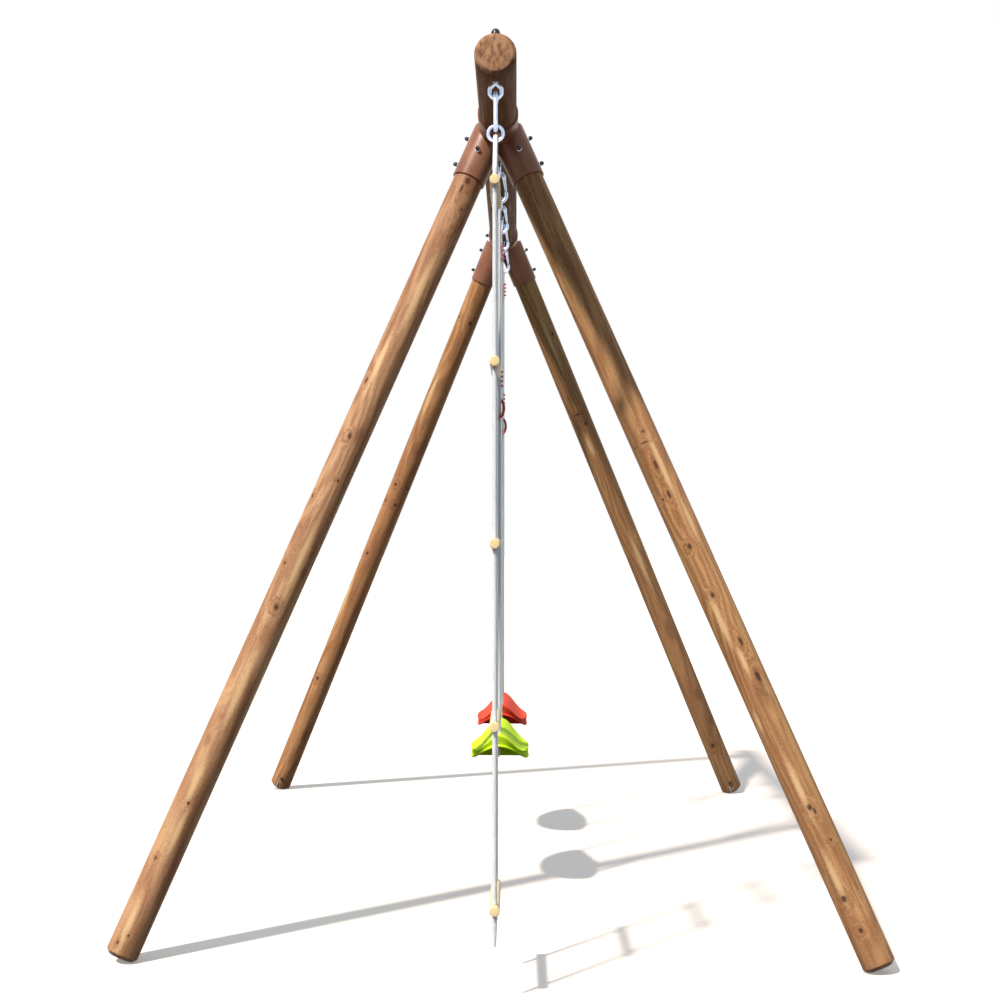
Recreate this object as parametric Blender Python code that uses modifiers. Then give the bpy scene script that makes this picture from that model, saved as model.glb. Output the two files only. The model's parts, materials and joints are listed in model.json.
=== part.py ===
"""Wooden swing set: two A-frames of round timber, a top beam, two saddle-shaped swings and a rope ladder.

Metres, +Z up. The beam runs along Y, the ladder hangs from its front end at -Y, and the swings move along X.
Places are written from the ground point midway between the two A-frames; the root empty then moves the
whole set so that its box is centred on the origin.
"""

import math

import bmesh
import bpy
from mathutils import Matrix, Quaternion, Vector

# Clearances
GAP = 0.0003
SLEEVE_CLEARANCE = 0.0005
BORE_CLEARANCE = 0.0004
PIN_CLEARANCE = 0.0003
JOINT_CLEARANCE = 0.0005
SEAT_BORE_CLEARANCE = 0.0007
RUNG_BORE_CLEARANCE = 0.0006
CUT_MARGIN = 0.010

# Timber
BEAM_RADIUS = 0.050
BEAM_HEIGHT = 2.200
BEAM_FRONT_OVERHANG = 0.706
BEAM_REAR_OVERHANG = 0.181
BEAM_CHAMFER = 0.008
BEAM_SIDES = 32
FRAME_SPACING = 1.758
LEG_RADIUS = 0.041
LEG_CHAMFER = 0.010
FOOT_SPREAD = 0.92488
FOOT_RAKE = 0.47102
LEG_OFFSET = 0.0183
LEG_SIDES = 28
LEG_END_GAP = 0.0006
FOOT_FLAT = 0.001

# Steel corner brackets
BEAM_SLEEVE_WALL = 0.004
BEAM_SLEEVE_LENGTH = 0.332
LEG_SLEEVE_WALL = 0.0045
LEG_SLEEVE_START = 0.012
LEG_SLEEVE_END = 0.170
SCREW_CAP_RADIUS = 0.006
SCREW_CAP_HEIGHT = 0.0135
SCREW_CAP_SINK = 0.0015
OUTER_SCREWS = (0.055, 0.137)
FACE_SCREW = 0.093
FACE_SCREW_TURN = 9
BEAM_SCREW_INSET = 0.030

# Eye bolts and their caps
EYE_WIRE = 0.00475
EYE_HALF_WIDTH = 0.01425
EYE_HEIGHT = 0.0330
EYE_FOOT_HALF = 0.0070
EYE_SHOULDERS = (0.0088, 0.0220)
EYE_CORNER = 0.0070
EYE_APEX = 0.0015
SHANK_RADIUS = 0.005
SHANK_STAND = 0.014
SHANK_SINK = 0.003
CAP_RADIUS = 0.0125
CAP_HEIGHT = 0.029

# Snap hooks
HOOK_WIRE = 0.005
HOOK_HEIGHT = 0.097
HOOK_WIDTH = 0.052
HOOK_TOP_RADIUS = 0.013
HOOK_NOSE = 0.008
TONGUE_THICKNESS = 0.0046
TONGUE_RADIUS = 0.0050
NECK_HALF = 0.004
NECK_RISE = 0.0045
NECK_ANGLE = 20
RIVET_RADIUS = 0.0024
RIVET_LENGTH = 0.0135
GATE_RADIUS = 0.0042
GATE_ROOT = 0.002
GATE_MOUTH_DROP = 0.001
CHEEK_RADIUS = 0.0062
CHEEK_THICKNESS = 0.011

# Rope
ROPE_RADIUS = 0.0055
STRAND_GAP = 0.0006
LOOP_CLEARANCE = 0.0008
STRAND_LEAD = 0.020
STRAND_LEAN = 0.012
STRAND_END = 0.008

# Swings
SWING_CENTRES = {"green": -0.435, "red": 0.365}
HOOK_SPACING = 0.480
HOLE_SPACING = 0.380
SEAT_LENGTH = 0.440
SEAT_WIDTH = 0.174
SEAT_RIDGE = 0.485
SEAT_SHOULDER = 0.428
SEAT_SHOULDER_HALF = 0.080
SEAT_ARCH = 0.4505
SEAT_FLAP = 0.398
SEAT_WALL = 0.004
SEAT_ROLL = 0.009
RIB_THICKNESS = 0.004
RIB_FOOT = 0.402
KNOT_SWELL = 2.1
KNOT_DROP = 0.005
KNOT_LENGTH = 0.025
TAIL_BEND = 0.007
TAIL_OFFSET = 0.0025
TAIL_LENGTH = 0.064
HOLE_LEAD = 0.004

# Wound rope clamps and the adjuster rings
COIL_WIRE = 0.003
COIL_CLEARANCE = 0.0007
COIL_TURNS = 4
COIL_PITCH = 0.0135
FIXED_COIL_DROP = 0.063
ADJUSTABLE_COIL_HEIGHT = 1.520
ADJUSTER_WIRE = 0.004
ADJUSTER_HALF_WIDTH = 0.0175
ADJUSTER_HALF_HEIGHT = 0.030
ADJUSTER_DROP = 0.086
STANDING_OFFSET = 0.023

# Rope ladder
LADDER_INSET = 0.065
RING_RADIUS = 0.018
RING_WIRE = 0.004
RUNG_RADIUS = 0.012
RUNG_LENGTH = 0.300
RUNG_EDGE = 0.0015
TOP_RUNG_DROP = 0.315
RUNG_PITCH = 0.418
LADDER_ROPE_SPACING = 0.254
LADDER_TAIL = 0.086
LADDER_FLOOR_ROOM = 0.060
LADDER_KNEE = 0.018
LADDER_BEND = 0.020

# Ground anchors on the legs
ANCHOR_HEAD_RADIUS = 0.017
ANCHOR_HEAD_HEIGHT = 0.049
ANCHOR_STEM_WIDTH = 0.022
ANCHOR_THICKNESS = 0.0025
ANCHOR_RIB_WIDTH = 0.004
ANCHOR_RIB_HEIGHT = 0.002
ANCHOR_FOOT = 0.0015
ANCHOR_SCREW_RADIUS = 0.003
ANCHOR_SCREW_LENGTH = 0.025
ANCHOR_SCREW_HEAD = 0.0065
ANCHOR_SCREW_HEAD_HEIGHT = 0.005
ANCHOR_SCREW_TIP = 0.002

# Values worked out from those above
FRAME_HALF = FRAME_SPACING / 2
BEAM_FRONT = -FRAME_HALF - BEAM_FRONT_OVERHANG
BEAM_REAR = FRAME_HALF + BEAM_REAR_OVERHANG
LADDER_PLACE = BEAM_FRONT + LADDER_INSET
BEAM_BORE = BEAM_RADIUS + SLEEVE_CLEARANCE
BEAM_SLEEVE = BEAM_BORE + BEAM_SLEEVE_WALL
LEG_BORE = LEG_RADIUS + SLEEVE_CLEARANCE
LEG_SLEEVE = LEG_BORE + LEG_SLEEVE_WALL
LEG_DOWN = Vector((FOOT_SPREAD, FOOT_RAKE, -BEAM_HEIGHT)).normalized()
LEG_TILT = math.hypot(LEG_DOWN.x, LEG_DOWN.y)
LEG_START = (
    (BEAM_SLEEVE + LEG_END_GAP) * math.hypot(LEG_DOWN.x, LEG_DOWN.z)
    + LEG_DOWN.y * LEG_RADIUS
    - LEG_DOWN.x * LEG_OFFSET
)
LEG_FOOT_CENTRE = (LEG_RADIUS - LEG_CHAMFER) * LEG_TILT - FOOT_FLAT
LEG_STOP = (BEAM_HEIGHT - LEG_FOOT_CENTRE) / -LEG_DOWN.z
HINGE_HEIGHT = BEAM_HEIGHT - BEAM_RADIUS - GAP - EYE_HEIGHT - EYE_WIRE
HOOK_SEAT = EYE_WIRE + GAP + HOOK_WIRE
HOOK_BOTTOM_RADIUS = HOOK_WIDTH / 2 - HOOK_WIRE
HOOK_TOP_CENTRE = HOOK_SEAT - HOOK_TOP_RADIUS
HOOK_BOTTOM_CENTRE = HOOK_SEAT + HOOK_WIRE - HOOK_HEIGHT + HOOK_WIRE + HOOK_BOTTOM_RADIUS
HOOK_BAR = HOOK_BOTTOM_CENTRE - HOOK_BOTTOM_RADIUS
HOOK_FLARE = math.asin((HOOK_BOTTOM_RADIUS - HOOK_TOP_RADIUS) / (HOOK_TOP_CENTRE - HOOK_BOTTOM_CENTRE))
HOOK_SIDE = (HOOK_TOP_CENTRE - HOOK_BOTTOM_CENTRE) * math.cos(HOOK_FLARE)
GATE_LENGTH = HOOK_SIDE - HOOK_NOSE - JOINT_CLEARANCE
GATE_PIVOT = Vector(
    (HOOK_TOP_RADIUS * math.cos(HOOK_FLARE), 0, HOOK_TOP_CENTRE + HOOK_TOP_RADIUS * math.sin(HOOK_FLARE))
)
BAR_HEIGHT = HINGE_HEIGHT + HOOK_BAR
BAR_LOOP = HOOK_WIRE + ROPE_RADIUS + GAP
STRAND = ROPE_RADIUS + STRAND_GAP / 2
COIL_RADIUS = ROPE_RADIUS + COIL_CLEARANCE + COIL_WIRE
COIL_HEIGHT = COIL_TURNS * COIL_PITCH
SEAT_BORE = ROPE_RADIUS + SEAT_BORE_CLEARANCE
SEAT_UNDERSIDE = SEAT_RIDGE - SEAT_WALL
FIXED_COIL_HEIGHT = BAR_HEIGHT - FIXED_COIL_DROP
ADJUSTER_HEIGHT = ADJUSTABLE_COIL_HEIGHT - ADJUSTER_DROP
RING_HANG = HOOK_WIRE + GAP + RING_WIRE - RING_RADIUS
RING_HEIGHT = BAR_HEIGHT + RING_HANG
LADDER_HALF = LADDER_ROPE_SPACING / 2
RUNG_BORE = ROPE_RADIUS + RUNG_BORE_CLEARANCE
TOP_RUNG = BEAM_HEIGHT - TOP_RUNG_DROP
RUNG_COUNT = int((TOP_RUNG - LADDER_TAIL - LADDER_FLOOR_ROOM) / RUNG_PITCH) + 1
LADDER_TAIL_FOOT = TOP_RUNG - (RUNG_COUNT - 1) * RUNG_PITCH - LADDER_TAIL

# The box runs from the front end of the rungs to the outer edge of the rear feet
FOOT_EDGE = LEG_RADIUS * math.hypot(LEG_DOWN.x, LEG_DOWN.z)
FOOT_REACH = FRAME_HALF + LEG_DOWN.y * (LEG_STOP - LEG_CHAMFER) + FOOT_EDGE
FRONT_REACH = max(RUNG_LENGTH / 2 - LADDER_PLACE, -BEAM_FRONT, FOOT_REACH)
REAR_REACH = max(FOOT_REACH, BEAM_REAR)
MIDDLE = (FRONT_REACH - REAR_REACH) / 2

for leftover in list(bpy.data.objects):
    bpy.data.objects.remove(leftover)

SET = bpy.data.collections.new("swing_set")
CUTTERS = bpy.data.collections.new("cutters")
CUTTERS.hide_render = True
bpy.context.scene.collection.children.link(SET)
bpy.context.scene.collection.children.link(CUTTERS)


def material(name, colour, roughness, metallic=0.0):
    """A plain surface whose colour is given as an sRGB hex string."""
    found = bpy.data.materials.new(name)
    found.use_nodes = True
    shader = found.node_tree.nodes["Principled BSDF"]
    parts = [int(colour[i : i + 2], 16) / 255 for i in (0, 2, 4)]
    linear = [part / 12.92 if part <= 0.04045 else ((part + 0.055) / 1.055) ** 2.4 for part in parts]
    shader.inputs["Base Color"].default_value = (*linear, 1.0)
    shader.inputs["Roughness"].default_value = roughness
    shader.inputs["Metallic"].default_value = metallic
    found.diffuse_color = (*linear, 1.0)
    return found


TIMBER = material("timber", "A4703F", 0.6)
RUNG_WOOD = material("rung_wood", "FFE2A8", 0.5)
RUST_PAINT = material("rust_paint", "A5694A", 0.4)
ZINC = material("zinc", "DDE3EA", 0.3, 1.0)
GALVANISED = material("galvanised", "8A93A0", 0.45, 0.9)
ROPE = material("rope", "F4F2FA", 0.85)
GREEN_PLASTIC = material("green_plastic", "C8F028", 0.35)
RED_PLASTIC = material("red_plastic", "E84A32", 0.35)
CLAMP_RED = material("clamp_red", "B8342A", 0.35)
BLACK_PLASTIC = material("black_plastic", "141416", 0.35)


def empty(name, place):
    """An empty that carries pieces, at a place in the frame's own coordinates."""
    made = bpy.data.objects.new(name, None)
    made.empty_display_size = 0.05
    SET.objects.link(made)
    if ROOT is not None:
        made.parent = ROOT
    made.location = place
    return made


ROOT = None
ROOT = empty("swing_set", (0, MIDDLE, 0))


def piece(name, mesh, finish, place=(0, 0, 0), turn=None, carrier=None):
    """A named piece of the set, at a place in the frame's own coordinates."""
    made = bpy.data.objects.new(name, mesh)
    if not mesh.materials:
        mesh.materials.append(finish)
    SET.objects.link(made)
    made.parent = carrier or ROOT
    made.location = Vector(place) - (carrier.location if carrier else Vector())
    if turn is not None:
        made.rotation_mode = "QUATERNION"
        made.rotation_quaternion = turn
    return made


def smooth(mesh, degrees=35):
    """Shades a mesh smooth, with its real edges kept sharp."""
    mesh.shade_smooth()
    mesh.set_sharp_from_angle(angle=math.radians(degrees))
    return mesh


def evaluated_mesh(obj):
    """The mesh that an object's modifiers or bevel make, with a curve's caps welded on."""
    CUTTERS.objects.link(obj)
    bpy.context.view_layer.update()
    graph = bpy.context.evaluated_depsgraph_get()
    mesh = bpy.data.meshes.new_from_object(obj.evaluated_get(graph))
    mesh.name = obj.name
    bpy.data.objects.remove(obj)
    work = bmesh.new()
    work.from_mesh(mesh)
    bmesh.ops.remove_doubles(work, verts=work.verts, dist=1e-6)
    work.to_mesh(mesh)
    work.free()
    return mesh


def mesh_of(name, work):
    mesh = bpy.data.meshes.new(name)
    work.to_mesh(mesh)
    work.free()
    return mesh


def cylinder(name, radius, low, high, sides, axis="Z"):
    """A closed cylinder between two places on its axis."""
    work = bmesh.new()
    bmesh.ops.create_cone(
        work, cap_ends=True, segments=sides, radius1=radius, radius2=radius, depth=high - low
    )
    bmesh.ops.translate(work, verts=work.verts, vec=(0, 0, (low + high) / 2))
    mesh = mesh_of(name, work)
    if axis == "Y":
        mesh.transform(Matrix.Rotation(math.radians(-90), 4, "X"))
    if axis == "X":
        mesh.transform(Matrix.Rotation(math.radians(90), 4, "Y"))
    return mesh


def box(name, low, high):
    work = bmesh.new()
    bmesh.ops.create_cube(work, size=1.0)
    bmesh.ops.scale(work, verts=work.verts, vec=[b - a for a, b in zip(low, high)])
    bmesh.ops.translate(work, verts=work.verts, vec=[(a + b) / 2 for a, b in zip(low, high)])
    return mesh_of(name, work)


def turned(name, profile, steps):
    """A shape turned about Z from (radius, height) points, listed down the outer side."""
    mesh = bpy.data.meshes.new(name)
    points = [(radius, 0, height) for radius, height in profile]
    mesh.from_pydata(points, [(i, i + 1) for i in range(len(points) - 1)], [])
    obj = bpy.data.objects.new(name, mesh)
    screw = obj.modifiers.new("turn", "SCREW")
    screw.steps = steps
    screw.render_steps = steps
    screw.use_merge_vertices = True
    screw.merge_threshold = 0.00001
    return evaluated_mesh(obj)


def tube(name, points, radius, resolution, closed=False, swells=None):
    """A round tube along points; swells gives some of them a larger radius."""
    curve = bpy.data.curves.new(name, "CURVE")
    curve.dimensions = "3D"
    curve.bevel_depth = radius
    curve.bevel_resolution = resolution
    curve.use_fill_caps = not closed
    spline = curve.splines.new("POLY")
    spline.points.add(len(points) - 1)
    for index, place in enumerate(points):
        spline.points[index].co = (*place, 1.0)
        spline.points[index].radius = (swells or {}).get(index, 1.0)
    spline.use_cyclic_u = closed
    return evaluated_mesh(bpy.data.objects.new(name, curve))


def shaped(base, joins=(), cuts=()):
    """The base mesh with others joined to it and then others cut from it."""
    obj = bpy.data.objects.new(base.name, base)
    helpers = []
    for operation, others in (("UNION", joins), ("DIFFERENCE", cuts)):
        for other in others:
            helper = bpy.data.objects.new(other.name + "_helper", other)
            CUTTERS.objects.link(helper)
            helpers.append(helper)
            step = obj.modifiers.new(other.name, "BOOLEAN")
            step.operation = operation
            step.solver = "EXACT"
            step.object = helper
    mesh = evaluated_mesh(obj)
    for helper in helpers:
        bpy.data.objects.remove(helper)
    return mesh


def arc(centre, radius, start, stop, steps):
    """Points on an arc in the YZ plane, angles in degrees from +Y towards +Z."""
    angles = [math.radians(start + (stop - start) * i / steps) for i in range(steps + 1)]
    return [Vector((0, centre[0] + radius * math.cos(a), centre[1] + radius * math.sin(a))) for a in angles]


def fillet(before, corner, after, radius, steps):
    """Points on the arc that rounds a corner."""
    into = (before - corner).normalized()
    out = (after - corner).normalized()
    half = into.angle(out) / 2
    reach = radius / math.tan(half)
    centre = corner + (into + out).normalized() * radius / math.sin(half)
    start = corner + into * reach - centre
    stop = corner + out * reach - centre
    sweep = start.angle(stop)
    points = []
    for i in range(steps + 1):
        part = i / steps
        mixed = start * math.sin((1 - part) * sweep) + stop * math.sin(part * sweep)
        points.append(centre + mixed / math.sin(sweep))
    return points


# Timber


def make_beam():
    mesh = cylinder("top_beam", BEAM_RADIUS, BEAM_FRONT, BEAM_REAR, BEAM_SIDES, "Y")
    cuts = []
    for name, along in EYE_PLACES.items():
        bore = cylinder("bore_" + name, SHANK_RADIUS + BORE_CLEARANCE, -2 * BEAM_RADIUS, 2 * BEAM_RADIUS, 12)
        bore.transform(Matrix.Translation((0, along, 0)))
        cuts.append(bore)
    obj = bpy.data.objects.new("top_beam", mesh)
    chamfer = obj.modifiers.new("chamfer", "BEVEL")
    chamfer.width = BEAM_CHAMFER
    chamfer.segments = 1
    chamfer.limit_method = "ANGLE"
    chamfer.angle_limit = math.radians(60)
    mesh = smooth(shaped(evaluated_mesh(obj), cuts=cuts))
    piece("top_beam", mesh, TIMBER, (0, 0, BEAM_HEIGHT))


def leg_frame(side, end):
    """A leg's place at the beam's height, and the turn that points its +Z down its axis."""
    down = Vector((side * LEG_DOWN.x, end * LEG_DOWN.y, LEG_DOWN.z))
    place = Vector((side * LEG_OFFSET, end * FRAME_HALF, BEAM_HEIGHT))
    return place, down, down.to_track_quat("Z", "Y")


def make_leg(name, side, end):
    """One leg: a turned post, chamfered at both ends and worn flat where its foot meets the ground."""
    place, down, turn = leg_frame(side, end)
    obj = bpy.data.objects.new(name, cylinder(name, LEG_RADIUS, LEG_START, LEG_STOP, LEG_SIDES))
    chamfer = obj.modifiers.new("chamfer", "BEVEL")
    chamfer.width = LEG_CHAMFER
    chamfer.segments = 1
    chamfer.limit_method = "ANGLE"
    chamfer.angle_limit = math.radians(60)
    post = evaluated_mesh(obj)
    post.transform(Matrix.Translation(place) @ turn.to_matrix().to_4x4())
    reach = 4 * LEG_RADIUS
    foot = place + down * LEG_STOP
    ground = box("ground", (foot.x - reach, foot.y - reach, -reach), (foot.x + reach, foot.y + reach, 0))
    head, out = anchor_head(side, end)
    depth = ANCHOR_SCREW_LENGTH + JOINT_CLEARANCE
    hole = cylinder("hole", ANCHOR_SCREW_RADIUS + BORE_CLEARANCE, -depth, CUT_MARGIN, 12)
    hole.transform(Matrix.Translation(head) @ out.to_track_quat("Z", "Y").to_matrix().to_4x4())
    mesh = shaped(post, cuts=[ground, hole])
    mesh.transform(Matrix.Translation(-place))
    piece(name, smooth(mesh), TIMBER, place)


# Steel corner brackets


def screw_cap():
    """The domed plastic cap of one bracket screw, along +Z."""
    radius, height = SCREW_CAP_RADIUS, SCREW_CAP_HEIGHT
    profile = [(0, height), (0.75 * radius, 0.85 * height), (radius, 0.45 * height)]
    profile += [(radius, -SCREW_CAP_SINK), (0, -SCREW_CAP_SINK)]
    return turned("screw_cap", profile, 8)


def bracket_mesh():
    """A sleeve on the beam with two welded leg sleeves and seven capped screws, the legs running to -Y."""
    half = BEAM_SLEEVE_LENGTH / 2
    body = cylinder("bracket", BEAM_SLEEVE, -half, half, BEAM_SIDES, "Y")
    joins = []
    reach = half + CUT_MARGIN
    bores = [cylinder("beam_bore", BEAM_BORE, -reach, reach, BEAM_SIDES, "Y")]
    caps = []
    for side in (-1, 1):
        down = Vector((side * LEG_DOWN.x, -LEG_DOWN.y, LEG_DOWN.z))
        start = Vector((side * LEG_OFFSET, 0, 0))
        pose = Matrix.Translation(start) @ down.to_track_quat("Z", "Y").to_matrix().to_4x4()
        sleeve = cylinder("leg_sleeve", LEG_SLEEVE, LEG_SLEEVE_START, LEG_SLEEVE_END, LEG_SIDES)
        low, high = LEG_START - SLEEVE_CLEARANCE, LEG_SLEEVE_END + CUT_MARGIN
        bore = cylinder("leg_bore", LEG_BORE, low, high, LEG_SIDES)
        sleeve.transform(pose)
        bore.transform(pose)
        joins.append(sleeve)
        bores.append(bore)
        outward = Vector((side, 0, 0))
        outward = (outward - down * outward.dot(down)).normalized()
        forward = Vector((0, -1, 0))
        forward = (forward - down * forward.dot(down)).normalized()
        facing = Quaternion(down, math.radians(-side * FACE_SCREW_TURN)) @ forward
        caps += [(start + down * along, outward) for along in OUTER_SCREWS]
        caps.append((start + down * FACE_SCREW, facing))
    caps = [(place, out, LEG_SLEEVE) for place, out in caps]
    caps.append((Vector((0, half - BEAM_SCREW_INSET, 0)), Vector((1, 0, 0)), BEAM_SLEEVE))
    shell = shaped(body, joins=joins, cuts=bores)
    heads = []
    for place, out, radius in caps:
        head = screw_cap()
        pose = Matrix.Translation(place + out * radius) @ out.to_track_quat("Z", "Y").to_matrix().to_4x4()
        head.transform(pose)
        heads.append(head)
    return smooth(shaped(shell, joins=heads))


def make_brackets():
    mesh = bracket_mesh()
    piece("bracket_front", mesh, RUST_PAINT, (0, -FRAME_HALF, BEAM_HEIGHT))
    turn = Matrix.Rotation(math.pi, 3, "Z").to_quaternion()
    piece("bracket_rear", mesh, RUST_PAINT, (0, FRAME_HALF, BEAM_HEIGHT), turn)


# Eye bolts and caps


def eye_mesh():
    """A bent eye on a shank, in the XZ plane, with its origin in the middle of the eye's bottom bar."""
    low, high = EYE_SHOULDERS
    corners = [(EYE_FOOT_HALF, 0), (EYE_HALF_WIDTH, low), (EYE_HALF_WIDTH, high), (0, EYE_HEIGHT + EYE_APEX)]
    corners += [(-EYE_HALF_WIDTH, high), (-EYE_HALF_WIDTH, low), (-EYE_FOOT_HALF, 0)]
    corners = [Vector((x, 0, z)) for x, z in corners]
    points = []
    for i, corner in enumerate(corners):
        radius = EYE_WIRE if corner.x == 0 else EYE_CORNER
        steps = 2 if corner.x == 0 else 1
        points += fillet(corners[i - 1], corner, corners[(i + 1) % len(corners)], radius, steps)
    ring = tube("eye", points, EYE_WIRE, 2, closed=True)
    top = BEAM_HEIGHT + BEAM_RADIUS + SHANK_STAND - HINGE_HEIGHT
    shank = cylinder("shank", SHANK_RADIUS, EYE_HEIGHT - SHANK_SINK, top, 12)
    return smooth(shaped(ring, joins=[shank]))


def cap_mesh():
    """A bell-shaped cap with a blind hole for the shank, its foot at Z 0."""
    hole = SHANK_RADIUS + BORE_CLEARANCE
    shares = ((0, 1), (0.36, 0.97), (0.62, 0.88), (0.80, 0.72), (0.90, 0.45), (0.93, 0.2), (1, 0))
    profile = [(CAP_RADIUS * across, CAP_HEIGHT * up) for across, up in shares]
    profile += [(hole, 0), (hole, SHANK_STAND + GAP), (0, SHANK_STAND + GAP)]
    return smooth(turned("cap", profile, 10), 50)


# Snap hooks


def hook_mesh():
    """The bent body of a snap hook in the XZ plane, gate side at +X, origin at the eye's bottom bar."""
    top = (0, HOOK_TOP_CENTRE)
    bottom = (0, HOOK_BOTTOM_CENTRE)
    flare = math.degrees(HOOK_FLARE)
    points = arc(top, HOOK_TOP_RADIUS, flare, 180 - flare, 6)
    points += arc(bottom, HOOK_BOTTOM_RADIUS, 180 - flare, 360 + flare, 9)
    up = Vector((0, -math.sin(HOOK_FLARE), math.cos(HOOK_FLARE)))
    points.append(points[-1] + up * HOOK_NOSE)
    points = [Vector((p.y, 0, p.z)) for p in points]
    wire = tube("hook", points, HOOK_WIRE, 2)
    about = Matrix.Translation(GATE_PIVOT)
    clear = cylinder("clear", CHEEK_RADIUS + JOINT_CLEARANCE, -CHEEK_THICKNESS, CHEEK_THICKNESS, 14, "Y")
    clear.transform(about)
    half = TONGUE_THICKNESS / 2
    tongue = cylinder("tongue", TONGUE_RADIUS, -half, half, 12, "Y")
    neck = box("neck", (-NECK_HALF, -half, 0), (NECK_HALF, half, CHEEK_RADIUS + NECK_RISE))
    neck.transform(Matrix.Rotation(-HOOK_FLARE - math.radians(NECK_ANGLE), 4, "Y"))
    rivet = cylinder("rivet", RIVET_RADIUS, -RIVET_LENGTH / 2, RIVET_LENGTH / 2, 10, "Y")
    for part in (tongue, neck, rivet):
        part.transform(about)
    return smooth(shaped(shaped(wire, cuts=[clear]), joins=[neck, tongue, rivet]))


def gate_mesh():
    """The gate of a snap hook: a rod with two cheeks that straddle the tongue, origin on the rivet."""
    rod = cylinder("gate", GATE_RADIUS, -GATE_LENGTH, -GATE_ROOT, 10)
    cheeks = cylinder("cheeks", CHEEK_RADIUS, -CHEEK_THICKNESS / 2, CHEEK_THICKNESS / 2, 14, "Y")
    slot_half = TONGUE_THICKNESS / 2 + GAP
    slot = cylinder("slot", TONGUE_RADIUS + JOINT_CLEARANCE, -slot_half, slot_half, 14, "Y")
    reach = 2 * CHEEK_RADIUS
    mouth = box("mouth", (-reach, -slot_half, -GATE_MOUTH_DROP), (reach, slot_half, reach))
    hole = cylinder("pin_hole", RIVET_RADIUS + PIN_CLEARANCE, -CHEEK_THICKNESS, CHEEK_THICKNESS, 10, "Y")
    mesh = shaped(rod, joins=[cheeks], cuts=[slot, mouth, hole])
    mesh.transform(Matrix.Rotation(-HOOK_FLARE, 4, "Y"))
    return smooth(mesh)


# Seats


def plan_point(angle, share):
    """A point of the seat's plan, an oval that is blunt at its ends."""
    across = SEAT_WIDTH / 2 * math.cos(angle)
    along = SEAT_LENGTH / 2 * math.copysign(abs(math.sin(angle)) ** 0.8, math.sin(angle))
    return across * share, along * share


def crown(across):
    """Height of the seat's top: a rounded ridge that falls to a shoulder on each side."""
    share = min(abs(across) / SEAT_SHOULDER_HALF, 1.0)
    return SEAT_SHOULDER + (SEAT_RIDGE - SEAT_SHOULDER) * (1 + math.cos(math.pi * share)) / 2


def rim(across):
    """Height of the seat's lower edge: an arch at the ends that falls to a flap on each side."""
    return SEAT_ARCH - (SEAT_ARCH - SEAT_FLAP) * min(abs(across) / (SEAT_WIDTH / 2), 1.0) ** 1.7


def seat_mesh(name):
    """A hollow saddle-shaped seat with a cross rib below and a rope hole near each end."""
    sides = 28
    angles = [2 * math.pi * i / sides for i in range(sides)]
    work = bmesh.new()
    rings = []
    for share, drop in ((0.4, 0), (0.7, 0), (0.9, 0), (0.97, 0.3), (1.0, 1.0)):
        ring = []
        for angle in angles:
            across, along = plan_point(angle, share)
            ring.append(work.verts.new((across, along, crown(across) - SEAT_ROLL * drop)))
        rings.append(ring)
    lower = []
    for angle in angles:
        across, along = plan_point(angle, 1.0)
        lower.append(work.verts.new((across, along, rim(across))))
    rings.append(lower)
    middle = work.verts.new((0, 0, SEAT_RIDGE))
    for i in range(sides):
        j = (i + 1) % sides
        work.faces.new((middle, rings[0][i], rings[0][j]))
        for inner, outer in zip(rings, rings[1:]):
            work.faces.new((inner[i], outer[i], outer[j], inner[j]))
    obj = bpy.data.objects.new(name, mesh_of(name, work))
    shell = obj.modifiers.new("wall", "SOLIDIFY")
    shell.thickness = SEAT_WALL
    shell.offset = -1
    shell.use_even_offset = True
    holes = []
    for side in (-1, 1):
        hole = cylinder("rope_hole", SEAT_BORE, SEAT_RIDGE - 3 * SEAT_WALL, SEAT_RIDGE + CUT_MARGIN, 12)
        hole.transform(Matrix.Translation((0, side * HOLE_SPACING / 2, 0)))
        holes.append(hole)
    return smooth(shaped(evaluated_mesh(obj), joins=[rib_mesh()], cuts=holes), 50)


def rib_mesh():
    """The upright rib that crosses the seat's hollow at its middle, let into the shell."""
    half = SEAT_WIDTH / 2 - SEAT_WALL / 2
    steps = 12
    across = [-half + 2 * half * i / steps for i in range(steps + 1)]
    outline = [(x, crown(x) - SEAT_WALL / 2 - SEAT_ROLL * (abs(x) > 0.9 * half)) for x in across]
    outline += [(half, RIB_FOOT), (-half, RIB_FOOT)]
    work = bmesh.new()
    face = work.faces.new([work.verts.new((x, -RIB_THICKNESS / 2, z)) for x, z in outline])
    grown = bmesh.ops.extrude_face_region(work, geom=[face])
    moved = [item for item in grown["geom"] if isinstance(item, bmesh.types.BMVert)]
    bmesh.ops.translate(work, verts=moved, vec=(0, RIB_THICKNESS, 0))
    bmesh.ops.recalc_face_normals(work, faces=work.faces)
    return mesh_of("rib", work)


# Ropes and what clamps them


def seat_end(hole_y):
    """The lower end of a swing rope: its tail, its knot under the seat and the stretch through the hole."""
    top = SEAT_UNDERSIDE - KNOT_DROP
    bend = top - KNOT_LENGTH - TAIL_BEND
    swells = {3: 0.8 * KNOT_SWELL, 4: KNOT_SWELL, 5: KNOT_SWELL, 6: 0.8 * KNOT_SWELL}
    points = [Vector((-TAIL_OFFSET, hole_y, height)) for height in (SEAT_UNDERSIDE - TAIL_LENGTH, bend)]
    points += [Vector((0, hole_y, top - share * KNOT_LENGTH)) for share in (1, 0.84, 0.6, 0.36, 0.16, 0)]
    points += [Vector((0, hole_y, height)) for height in (SEAT_UNDERSIDE - GAP, SEAT_RIDGE + HOLE_LEAD)]
    return points, swells


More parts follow.
